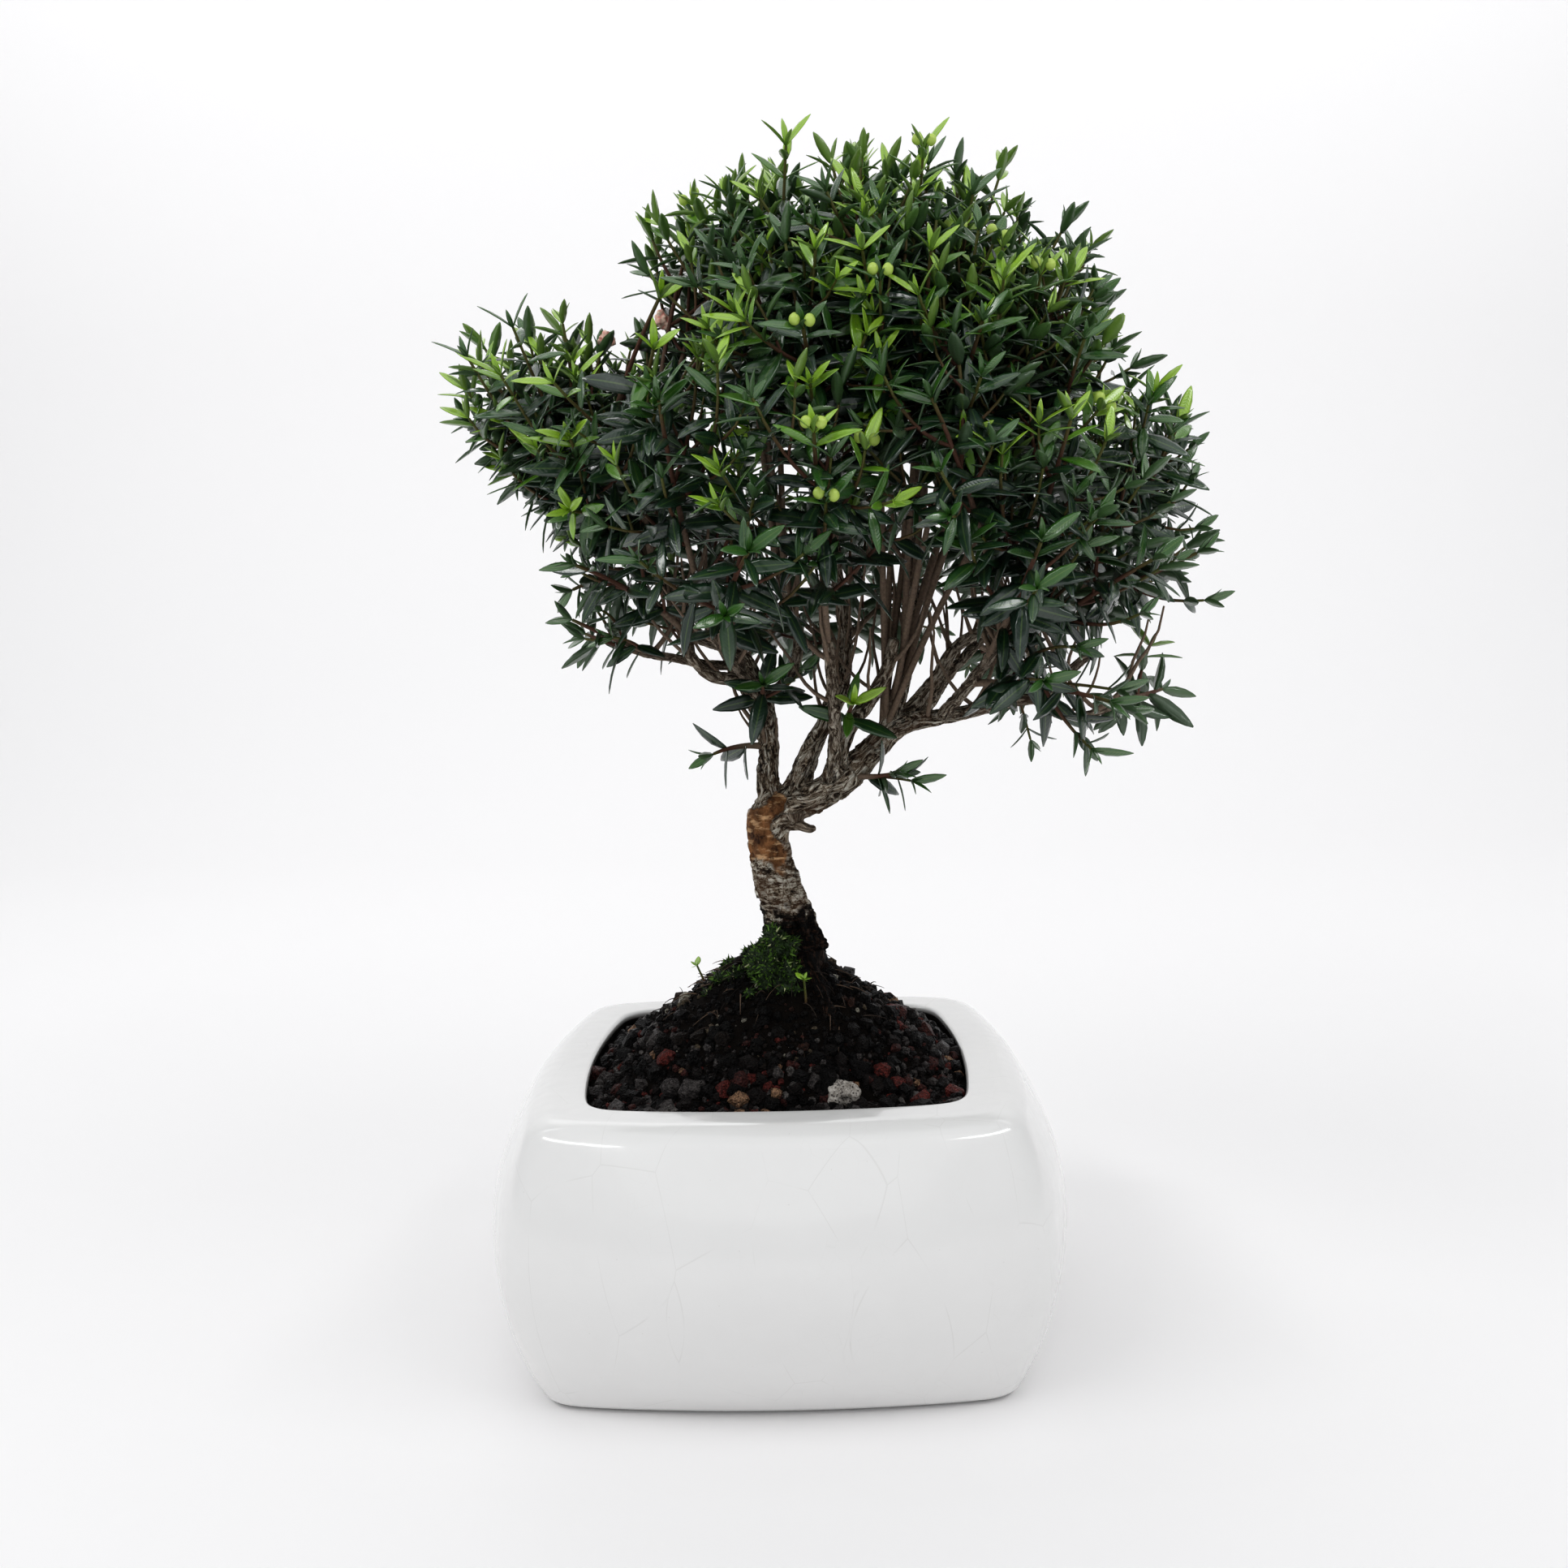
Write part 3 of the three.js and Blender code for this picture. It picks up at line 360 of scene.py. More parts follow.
# %% The room's own light
ROOM_COLOUR = (0.96, 0.98, 1.0, 1)
ROOM_STRENGTH = 0.465
world = bpy.data.worlds.new("studio")
world.use_nodes = True
background = world.node_tree.nodes["Background"]
background.inputs["Color"].default_value = ROOM_COLOUR
background.inputs["Strength"].default_value = ROOM_STRENGTH
bpy.context.scene.world = world
bpy.context.scene.view_settings.view_transform = "Standard"
bpy.context.scene.view_settings.look = "Medium High Contrast"

# %% Lights
# Each light: name, place, the point it faces, width, height and watts. The two windows are wide
# and low, which draws them as long streaks on the rounded rim of the pot.
LIGHTS = [
    ("window_left", (-700, -450, 900), (0, 0, 180), 900, 110, 2.6),
    ("window_right", (720, -430, 880), (20, 0, 180), 900, 110, 2.2),
    ("front_high", (0, -1050, 950), (0, 0, 110), 1200, 1200, 1.4),
    ("sky_above", (0, -200, 1300), (10, 0, 150), 1400, 1200, 1.45),
    ("rim_behind", (-250, 800, 900), (20, 0, 230), 500, 500, 0.4),
    ("backdrop_left", (-1000, 600, 1500), (-1000, 1500, 900), 900, 900, 4.0),
    ("backdrop_middle", (0, 600, 1500), (0, 1500, 900), 900, 900, 2.0),
    ("backdrop_right", (1000, 600, 1500), (1000, 1500, 900), 900, 900, 4.0),
]
for name, place, target, width, height, watts in LIGHTS:
    lamp = bpy.data.lights.new(name, "AREA")
    lamp.shape = "RECTANGLE"
    lamp.size = width * MM
    lamp.size_y = height * MM
    lamp.energy = watts
    light = bpy.data.objects.new(name, lamp)
    light.location = Vector(place) * MM
    light.rotation_euler = (Vector(target) - Vector(place)).to_track_quat("-Z", "Y").to_euler()
    bpy.context.scene.collection.objects.link(light)
print("lights", len(LIGHTS))


# %% [markdown]
# ## The pot
#
# A slip-cast bowl has no straight line in it: each side bows out in plan and swells in height. A
# stack of loops follows that rule exactly and keeps every corner smooth, which a modelled cube with
# modifiers would not. The sizes repeat the pot's driving dimensions.

# %% The pot's outline at one height
POT_HEIGHT = 80
POT_BASE_HALF = 64.2
POT_SIDE_BOW = 4.5
POT_SWELL = 8.2
POT_SWELL_BOW = 8
POT_FLARE = 0.6
POT_FLARE_BOW = 1.2
POT_CORNER = 9
POT_RIM_ROUND = 4.5
POT_BASE_ROUND = 3
MOUTH_HALF = 51.8
MOUTH_BOW = 4.6
POT_FLOOR = 8
LIP_ROUND = 1.2
SIDE_STEPS = 22
CORNER_STEPS = 8


def bowed_square(half, bow, height):
    """A loop with four sides that bow outward and four round corners."""
    straight = 1 - POT_CORNER / half
    points = []
    for side in range(4):
        turn = Matrix.Rotation(side * math.pi / 2, 3, "Z")
        for step in range(SIDE_STEPS + 1):
            along = straight * (2 * step / SIDE_STEPS - 1)
            points.append(turn @ Vector((along * half, -half - bow * (1 - along**2), height)))
        reach = half + bow * (1 - straight**2)
        start = turn @ Vector((straight * half, -reach, height))
        corner = turn @ Vector((half, -half, height))
        end = turn @ Vector((reach, -straight * half, height))
        for step in range(1, CORNER_STEPS):
            share = step / CORNER_STEPS
            points.append(start * (1 - share) ** 2 + corner * 2 * share * (1 - share) + end * share**2)
    return soften(points)


def soften(points, times=3):
    """Rounds the small kinks where a side meets a corner."""
    for _ in range(times):
        count = len(points)
        points = [
            points[i] * 0.5 + (points[i - 1] + points[(i + 1) % count]) * 0.25 for i in range(count)
        ]
    return points


def pot_outside(height, inset=0.0):
    share = height / POT_HEIGHT
    swell = 1 - (2 * share - 1) ** 2
    half = POT_BASE_HALF + POT_SWELL * swell + POT_FLARE * share
    bow = POT_SIDE_BOW + POT_SWELL_BOW * swell + POT_FLARE_BOW * share
    return bowed_square(half - inset, bow, height)


# %% Stacking loops into a closed skin
def stack(loops):
    count = len(loops[0])
    points = [point for loop in loops for point in loop]
    faces = []
    for row in range(len(loops) - 1):
        for step in range(count):
            here = row * count + step
            beside = row * count + (step + 1) % count
            faces.append((here, beside, beside + count, here + count))
    top = (len(loops) - 1) * count
    faces.append(tuple(reversed(range(count))))
    faces.append(tuple(range(top, top + count)))
    return points, faces


def ease(table, height):
    """Reads half side and bow at a height from rows of height, half and bow."""
    heights = [row[0] for row in table]
    return [float(np.interp(height, heights, [row[column] for row in table])) for column in (1, 2)]


# Height, half side and bow of the inner wall
POT_INSIDE = [
    (POT_FLOOR, 57, 6),
    (POT_FLOOR + 3, 61, 7.5),
    (22, 64.5, 10.5),
    (36, 66, 12.5),
    (48, 65.6, 12.2),
    (58, 64, 10.5),
    (66, 59, 8),
    (72, MOUTH_HALF + 1, 4.8),
    (76, MOUTH_HALF, MOUTH_BOW),
    (79, MOUTH_HALF, MOUTH_BOW),
]
EDGE_STEPS, RIM_STEPS, WALL_STEPS, INSIDE_STEPS = 5, 8, 30, 24
INSIDE_TOP = 78


def quarter_round(steps):
    """How far a rounded edge has come and how far it has to go, as shares of its radius."""
    angles = [math.pi / 2 * step / steps for step in range(steps + 1)]
    return [(1 - math.cos(angle), 1 - math.sin(angle)) for angle in angles]


def pot_loops():
    loops = []
    for rise, inset in quarter_round(EDGE_STEPS):
        loops.append(pot_outside(POT_BASE_ROUND * rise, POT_BASE_ROUND * inset))
    wall = POT_HEIGHT - POT_BASE_ROUND - POT_RIM_ROUND
    loops += [pot_outside(POT_BASE_ROUND + wall * step / WALL_STEPS) for step in range(1, WALL_STEPS)]
    for inset, drop in quarter_round(RIM_STEPS):
        loops.append(pot_outside(POT_HEIGHT - POT_RIM_ROUND * drop, POT_RIM_ROUND * inset))
    edge = loops[-1]
    lip = bowed_square(MOUTH_HALF + LIP_ROUND, MOUTH_BOW, POT_HEIGHT)
    for share in (0.2, 0.4, 0.6, 0.8):
        loops.append([a.lerp(b, share) for a, b in zip(edge, lip)])
    for drop, inset in quarter_round(EDGE_STEPS):
        half = MOUTH_HALF + LIP_ROUND * inset
        loops.append(bowed_square(half, MOUTH_BOW, POT_HEIGHT - LIP_ROUND * drop))
    for height in np.linspace(INSIDE_TOP, POT_FLOOR, INSIDE_STEPS):
        loops.append(bowed_square(*ease(POT_INSIDE, height), height))
    return loops


# %% Drain holes
DRAIN_HOLE_RADIUS = 7
DRAIN_HOLE_OFFSET = 30
DRILL_OVERSHOOT = 5
HOLE_SIDES = 48


def circle(x, radius, height):
    angles = [2 * math.pi * step / HOLE_SIDES for step in range(HOLE_SIDES)]
    return [(x + radius * math.cos(angle), radius * math.sin(angle), height) for angle in angles]


def drill_object():
    """Two upright rods, to be cut out of the pot's floor."""
    points, faces = [], []
    for side in (-1, 1):
        ends = (-DRILL_OVERSHOOT, POT_FLOOR + DRILL_OVERSHOOT)
        rod, skin = stack([circle(side * DRAIN_HOLE_OFFSET, DRAIN_HOLE_RADIUS, end) for end in ends])
        faces += [tuple(len(points) + corner for corner in face) for face in skin]
        points += rod
    return mesh_object("drill", points, faces)


# %% [markdown]
# The glaze is thick white glass over clay: sharp soft highlights, hair-thin grey craze lines that
# follow no direction, a few pinholes, and a slow waviness left by the slip. The craze lines are the
# borders of two sizes of Voronoi cells, broken up by noise so that few cells close. On the inside,
# above the grit, the glaze is painted near black as painted shade under the rim: x, y and z tell the
# inner wall from the rest.

# %% Glaze
# Heights and reach of the painted shade on the inner wall
PAINTED_SHADE_LEVELS = (77.6, 79.2)
PAINTED_SHADE_REACH = (58, 60)


def glaze():
    finish = Finish("glaze", Coat_Weight=0.6, Coat_Roughness=0.05, IOR=1.5)
    place = finish.place()
    wobble = finish.noise(place, 0.06, 2)
    tall = finish.vectors("MULTIPLY", place, (1, 1, 0.4))
    large = finish.cells(tall, 0.05, "DISTANCE_TO_EDGE")
    small = finish.cells(place, 0.16, "DISTANCE_TO_EDGE")
    shown = finish.between(finish.noise(place, 0.035, 1), 0.47, 0.6)
    large_line = 1 - finish.between(large, 0.0, 0.007)
    small_line = (1 - finish.between(small, 0.0, 0.012)) * shown
    pinhole = (1 - finish.between(finish.cells(place, 0.22), 0.02, 0.045)) * 0.6
    marks = large_line * 0.16 * finish.between(wobble, 0.44, 0.56) + small_line * 0.05 + pinhole * 0.4
    body = finish.mix(wobble, (0.790, 0.785, 0.777), (0.815, 0.81, 0.802))
    body = finish.mix(marks, body, (0.42, 0.40, 0.37))
    x, y, z = finish.parts(place)
    far = x.sum("MAXIMUM", x.size(), y.size())
    # painted shade: the inner wall above the grit is painted near black
    painted_shade = (1 - finish.between(z, *PAINTED_SHADE_LEVELS)) * (1 - finish.between(far, *PAINTED_SHADE_REACH))
    finish.feed("Base Color", finish.mix(painted_shade, body, (0.012, 0.010, 0.009)))
    finish.feed("Roughness", finish.between(wobble, 0, 1) * 0.1 + marks * 0.15 + 0.11)
    finish.bump(wobble * 6 - marks * 0.35, 0.12, 0.6)
    return finish.material


# %% Pot piece
WALL_WAVER = 0.25
WAVED_LEVELS = (4, 79)


def make_pot():
    points, faces = stack(pot_loops())
    waved = []
    for point in points:
        waver = noise.noise(point * 0.03) * WALL_WAVER
        outward = Vector((point.x, point.y, 0)).normalized()
        waved.append(point + outward * waver if WAVED_LEVELS[0] < point.z < WAVED_LEVELS[1] else point)
    pot = mesh_object("glazed_pot", waved, faces, glaze())
    drill = drill_object()
    cut = pot.modifiers.new("holes", "BOOLEAN")
    cut.operation = "DIFFERENCE"
    cut.object = drill
    bake(pot, sharp_angle=50)
    discard(drill)
    return settle(pot, "glaze", "pot")


make_pot()


# %% [markdown]
# ## Soil
#
# The tree was lifted from a smaller nursery pot, so its old root ball makes a mound, and fresh lava
# grit fills the square round it. The mound is a formula of the distance from its centre, as in the
# solids, with a rougher skin. Loose grains are then scattered over it, which no bump could replace.

# %% The mound
SOIL_EDGE_LEVEL = 76
MOUND_CENTRE = (1, 2)
MOUND_HEIGHT = 40
MOUND_RADII = (54, 47)
MOUND_ROUNDNESS = 0.85
CLEARANCE = 0.3
SOIL_WALL_STEPS = 16
SOIL_RINGS = 44
RELIEF_DEPTH = 1.1


def soil_height(x, y):
    across = (x - MOUND_CENTRE[0]) / MOUND_RADII[0]
    deep = (y - MOUND_CENTRE[1]) / MOUND_RADII[1]
    rise = max(0.0, 1 - math.hypot(across, deep)) ** MOUND_ROUNDNESS
    return SOIL_EDGE_LEVEL + MOUND_HEIGHT * rise


def soil_surface(x, y, share):
    crumb = noise.fractal(Vector((x, y, 0)) * 0.22, 0.8, 2.1, 5)
    return soil_height(x, y) + RELIEF_DEPTH * crumb * min(1, 4 * (1 - share))


def soil_loops():
    walls = []
    for height in np.linspace(POT_FLOOR + CLEARANCE, SOIL_EDGE_LEVEL, SOIL_WALL_STEPS):
        half, bow = ease(POT_INSIDE, height)
        walls.append(bowed_square(half - CLEARANCE, bow, height))
    top = []
    for ring in range(1, SOIL_RINGS):
        share = 1 - ring / SOIL_RINGS
        loop = []
        for point in walls[-1]:
            x = MOUND_CENTRE[0] + (point.x - MOUND_CENTRE[0]) * share
            y = MOUND_CENTRE[1] + (point.y - MOUND_CENTRE[1]) * share
            loop.append(Vector((x, y, soil_surface(x, y, share))))
        top.append(loop)
    return walls, top


# %% Earth and grit finishes
# Where each tone of the grains begins, from 0 to 1: black and grey lava, red lava, and a few tan
# and pale stones
GRIT_TONES = [
    (0.0, (0.005, 0.004, 0.004)),
    (0.36, (0.020, 0.015, 0.014)),
    (0.60, (0.125, 0.112, 0.108)),
    (0.75, (0.105, 0.036, 0.031)),
    (0.86, (0.20, 0.044, 0.036)),
    (0.925, (0.20, 0.185, 0.175)),
    (0.97, (0.45, 0.27, 0.165)),
    (0.99, (0.70, 0.65, 0.58)),
]
# The old root ball is nearly black, with a few brown bits and pale specks
CRUMB_TONES = [
    (0.0, (0.002, 0.0015, 0.0015)),
    (0.5, (0.006, 0.004, 0.003)),
    (0.78, (0.020, 0.014, 0.011)),
    (0.92, (0.060, 0.028, 0.020)),
    (0.955, (0.20, 0.16, 0.11)),
    (0.98, (0.55, 0.52, 0.43)),
]


def earth():
    finish = Finish("earth", Specular_IOR_Level=0.08)
    place = finish.place()
    crumb = finish.noise(place, 0.7, 6, 0.7)
    damp = finish.noise(place, 0.08, 2)
    colour = finish.mix(crumb, (0.002, 0.0015, 0.0015), (0.010, 0.007, 0.005))
    finish.feed("Base Color", colour)
    finish.feed("Roughness", damp * 0.35 + 0.55)
    finish.bump(crumb, 0.8)
    return finish.material


def loose_grit(name, tones):
    """Each grain has one tone, and dark pores over it."""
    finish = Finish(name, Specular_IOR_Level=0.2)
    place = finish.place()
    pores = finish.between(finish.cells(place, 1.3), 0.1, 0.5)
    grain = finish.noise(place, 1.1, 5, 0.75)
    tone = finish.ramp(finish.attribute("tone"), tones, "CONSTANT")
    holes = finish.between(grain + pores * 0.15, 0.5, 0.75)
    finish.feed("Base Color", finish.mix(holes * 0.9, tone, (0.002, 0.0015, 0.0015)))
    finish.feed("Roughness", grain * 0.6 + 0.08)
    finish.bump(grain * 1.6 - pores, 0.6)
    return finish.material


# %% Soil piece
def make_soil():
    walls, top = soil_loops()
    points, faces = stack(walls + top)
    return settle(mesh_object("soil_mound", points, faces, earth()), "soil", "soil")


make_soil()


# %% [markdown]
# ## Scattering with Geometry Nodes
#
# Grains and moss tips are the same job: points spread over a surface, each with a small shape,
# turned and sized by chance. One tree does it, with named inputs for the density, the sizes
# and the seed. It ends in Realize Instances, so that what comes out is a plain mesh. The parts that
# every such tree needs, its inputs and its end, are written once.

# %% Geometry Nodes trees
RANDOM_SOCKETS = {"FLOAT_VECTOR": (0, 1, 0), "FLOAT": (2, 3, 1), "INT": (4, 5, 2)}


class Recipe(Tree):
    """A Geometry Nodes tree with named inputs, whose result is a plain mesh of one finish."""

    def __init__(self, name, **inputs):
        super().__init__(bpy.data.node_groups.new(name, "GeometryNodeTree"))
        for label, value in (inputs | {"Finish": "Material"}).items():
            kind = value if isinstance(value, str) else "Int" if isinstance(value, int) else "Float"
            socket = self.tree.interface.new_socket(
                label.replace("_", " "), in_out="INPUT", socket_type=f"NodeSocket{kind}")
            if kind != value:
                socket.default_value = value
        self.tree.interface.new_socket("Made", in_out="OUTPUT", socket_type="NodeSocketGeometry")
        self.source = self.node("NodeGroupInput").socket.node

    def given(self, name):
        return Wire(self, self.source.outputs[name])

    def kept(self, name, kind):
        """A value that the mesh carries at each point."""
        return self.node("GeometryNodeInputNamedAttribute", {"data_type": kind}, {"Name": name})

    def chance(self, kind, low, high, number):
        """A random value for each point; the number keeps it apart from the other draws."""
        lowest, highest, output = RANDOM_SOCKETS[kind]
        inputs = {lowest: low, highest: high, "Seed": self.given("Seed") + number}
        return self.node("FunctionNodeRandomValue", {"data_type": kind}, inputs, output)

    def hang(self, points, which, rotation, size):
        """One of the shapes at each point."""
        shapes = self.node("GeometryNodeCollectionInfo", None, {
            "Collection": self.given("Shapes"), "Separate Children": True, "Reset Children": True})
        return self.node("GeometryNodeInstanceOnPoints", None, {
            "Points": points, "Instance": shapes, "Pick Instance": True,
            "Instance Index": which, "Rotation": rotation, "Scale": size})

    def end(self, geometry):
        real = self.node("GeometryNodeRealizeInstances", None, {0: geometry})
        inputs = {"Geometry": real, "Material": self.given("Finish")}
        self.node("NodeGroupOutput", None, {0: self.node("GeometryNodeSetMaterial", None, inputs)})
        return self.tree


# %% The scatter tree
SMALL_GRAIN_BIAS = 2.2


def scatter_tree():
    maker = Recipe("scatter", Surface="Geometry", Shapes="Collection", Per_Square_Metre=1000.0,
                   Smallest=0.5, Largest=1.0, Lean=math.pi, Seed=1)
    spread_points = maker.node("GeometryNodeDistributePointsOnFaces", {"distribute_method": "RANDOM"}, {
        "Mesh": maker.given("Surface"), "Density": maker.given("Per Square Metre"),
        "Seed": maker.given("Seed")})
    on_surface = Wire(maker, spread_points.socket.node.outputs["Rotation"])
    lean = maker.given("Lean")
    back = 0 - lean
    lowest = maker.node("ShaderNodeCombineXYZ", None, {0: back, 1: back, 2: -math.pi})
    highest = maker.node("ShaderNodeCombineXYZ", None, {0: lean, 1: lean, 2: math.pi})
    turn = maker.chance("FLOAT_VECTOR", lowest, highest, 1)
    turned = maker.node("FunctionNodeEulerToRotation", None, {0: turn})
    rotation = maker.node(
        "FunctionNodeRotateRotation", {"rotation_space": "LOCAL"}, {0: on_surface, 1: turned})
    smallest, largest = maker.given("Smallest"), maker.given("Largest")
    size = smallest + (largest - smallest) * maker.chance("FLOAT", 0.0, 1.0, 2) ** SMALL_GRAIN_BIAS
    placed = maker.hang(spread_points, maker.chance("INT", 0, 99, 3), rotation, size)
    toned = maker.node("GeometryNodeStoreNamedAttribute", {"data_type": "FLOAT", "domain": "INSTANCE"}, {
        "Geometry": placed, "Name": "tone", "Value": maker.chance("FLOAT", 0.0, 1.0, 4)})
    return maker.end(toned)


# %% Setting a modifier's inputs
def apply_tree(piece, tree, **values):
    modifier = piece.modifiers.new(tree.name, "NODES")
    modifier.node_group = tree
    names = {item.name: item.identifier for item in tree.interface.items_tree if item.in_out == "INPUT"}
    for name, value in values.items():
        modifier[names[name.replace("_", " ")]] = value
    return bake(piece)


def shelf(name, shapes):
    """A collection that holds the small shapes of a scatter, out of the scene."""
    made = bpy.data.collections.new(name)
    for shape in shapes:
        bpy.context.scene.collection.objects.unlink(shape)
        made.objects.link(shape)
    return made


def clear_shelf(collection):
    discard(*list(collection.objects))
    bpy.data.collections.remove(collection)


# %% [markdown]
# A grain of lava is a broken bit, so it has flat faces and sharp corners. The hull of a few points
# on a stretched ball gives that with about two dozen faces, which is all a grain of three
# millimetres can show. Six different grains are enough once each is turned and sized by chance.

# %% Grains
GRAIN_KINDS = 6
GRAIN_CORNERS = 15
GOLDEN_TURN = 2.39996
GRAIN_FLATNESS = (1, 0.85, 0.75)


def grain_shape(kind):
    made = bmesh.new()
    for corner in range(GRAIN_CORNERS):
        height = 1 - 2 * (corner + 0.5) / GRAIN_CORNERS
        angle = corner * GOLDEN_TURN + spread(-0.4, 0.4, kind + 20, corner)
        ring = math.sqrt(1 - height * height)
        size = 0.5 * spread(0.78, 1.12, kind + 40, corner)
        way = (ring * math.cos(angle), ring * math.sin(angle), height)
        point = Vector([part * flat for part, flat in zip(way, GRAIN_FLATNESS)]) * size
        made.verts.new(point * MM)
    hull = bmesh.ops.convex_hull(made, input=made.verts)
    bmesh.ops.delete(made, geom=hull["geom_unused"] + hull["geom_interior"], context="VERTS")
    return built_object(f"grain_{kind}", made, smooth=False)


def soil_patch(name, inner, outer):
    """A ring of the soil's top between two shares of its reach, on which grains lie."""
    _, top = soil_loops()
    loops = [loop for ring, loop in enumerate(top, 1) if inner <= 1 - ring / SOIL_RINGS <= outer]
    points, faces = stack(loops)
    return mesh_object(name, points, faces[:-2])


# %% Scatter the grit
GRIT_SIZES = [
    # name, inner and outer share of the soil's reach, grains per square metre, smallest and
    # largest in millimetres, seed and tones
    ("grit_coarse", 0.6, 1.0, 130000, 2.8, 8.5, 3, GRIT_TONES),
    ("grit_medium", 0.5, 1.0, 200000, 1.2, 4.0, 11, GRIT_TONES),
    ("mound_crumbs", 0.0, 0.66, 330000, 0.7, 3.4, 23, CRUMB_TONES),
    ("mound_lumps", 0.05, 0.66, 60000, 2.2, 7.0, 37, CRUMB_TONES),
]
grains = shelf("grains", [grain_shape(kind) for kind in range(GRAIN_KINDS)])
scatter = scatter_tree()
for name, inner, outer, density, smallest, largest, seed, tones in GRIT_SIZES:
    grit = soil_patch(name, inner, outer)
    apply_tree(grit, scatter, Shapes=grains, Per_Square_Metre=float(density), Smallest=smallest,
               Largest=largest, Seed=seed, Finish=loose_grit(name, tones))
    settle(grit, "soil")


# %% [markdown]
# ## Stems from paths
#
# Wood is a tapering tube along a path. Each stem is a chain of points that carries its girth and
# its age, and one Geometry Nodes tree turns all the chains of a piece into closed tubes at once.
# The old limbs repeat the solids' routes, and a smooth curve through the same points rounds them.

# %% Smooth curves
def smooth_route(route, steps=6):
    """A curve through the points of a route, whose fourth value is the radius there."""
    rows = [np.array(row, float) for row in route]
    rows = [2 * rows[0] - rows[1]] + rows + [2 * rows[-1] - rows[-2]]
    made = []
    for before, start, end, after in zip(rows, rows[1:], rows[2:], rows[3:]):
        spans = ((before, start), (start, end), (end, after))
        back, here, ahead = [max(1e-6, np.linalg.norm(b[:3] - a[:3])) ** 0.5 for a, b in spans]
        leave = (start - before) / back - (end - before) / (back + here) + (end - start) / here
        arrive = (end - start) / here - (after - start) / (here + ahead) + (after - end) / ahead
        leave, arrive = leave * here, arrive * here
        for step in range(steps):
            t = step / steps
            made.append(
                (2 * t**3 - 3 * t**2 + 1) * start + (t**3 - 2 * t**2 + t) * leave
                + (3 * t**2 - 2 * t**3) * end + (t**3 - t**2) * arrive
            )
    return np.array(made + [rows[-2]])


def chain_length(points):
    return sum((after - here).length for here, after in zip(points, points[1:]))


def bend_curve(start, bend, tip, steps):
    """Points of a curve from start to tip that is drawn towards the bend."""
    return [
        Vector(start) * (1 - t) ** 2 + Vector(bend) * 2 * t * (1 - t) + Vector(tip) * t * t
        for t in np.linspace(0, 1, steps)
    ]


# %% Chains of points that become tubes
class Stems:
    """Chains of points with a girth (radius) and an age, 0 for green and 1 for old wood."""

    def __init__(self):
        self.points = []
        self.links = []
        self.girths = []
        self.ages = []

    def add(self, points, girths, ages):
        first = len(self.points)
        self.points += [tuple(point) for point in points]
        self.girths += list(girths)
        self.ages += list(ages)
        self.links += [(first + i, first + i + 1) for i in range(len(points) - 1)]

    def piece(self, name, sides, finish):
        made = mesh_object(name, self.points, [], edges=self.links)
        store(made.data, "girth", [float(girth) * MM for girth in self.girths])
        store(made.data, "age", [float(age) for age in self.ages])
        return apply_tree(made, stem_tree(), Sides=sides, Finish=finish)


def stem_tree():
    maker = Recipe("stems", Chains="Geometry", Sides=8)
    curve = maker.node("GeometryNodeMeshToCurve", None, {0: maker.given("Chains")})
    ring = maker.node(
        "GeometryNodeCurvePrimitiveCircle", None, {"Resolution": maker.given("Sides"), "Radius": 1.0})
    tube = maker.node("GeometryNodeCurveToMesh", None, {
        "Curve": curve, "Profile Curve": ring, "Scale": maker.kept("girth", "FLOAT"), "Fill Caps": True})
    return maker.end(maker.node("GeometryNodeSetShadeSmooth", None, {"Geometry": tube}))


# %% [markdown]
# ## Trunk and limbs
#
# The trunk leans out of the mound, bends back in an S and forks into a rising left limb and a long
# low right limb, with a crowd of thin inner stems between them. The tubes of all of them are melted
# into one skin by a voxel remesh, because real forks have a swollen collar and no seam.

# %% Routes of the old wood
# Each point of a route is its place and the radius there
TRUNK_ROUTE = [
    (13, 3, 78, 8.5), (11, 2, 90, 10.6), (9, 1, 100, 9.4), (7.5, 0, 109, 8.2), (5.5, 0, 117, 7.6),
    (3.6, 0, 125, 7.1), (0.6, 0, 134.5, 6.5), (-1.4, 0, 144.6, 6.2), (-0.8, 0, 152, 6.4),
    (2.5, -0.5, 157.5, 6),
]
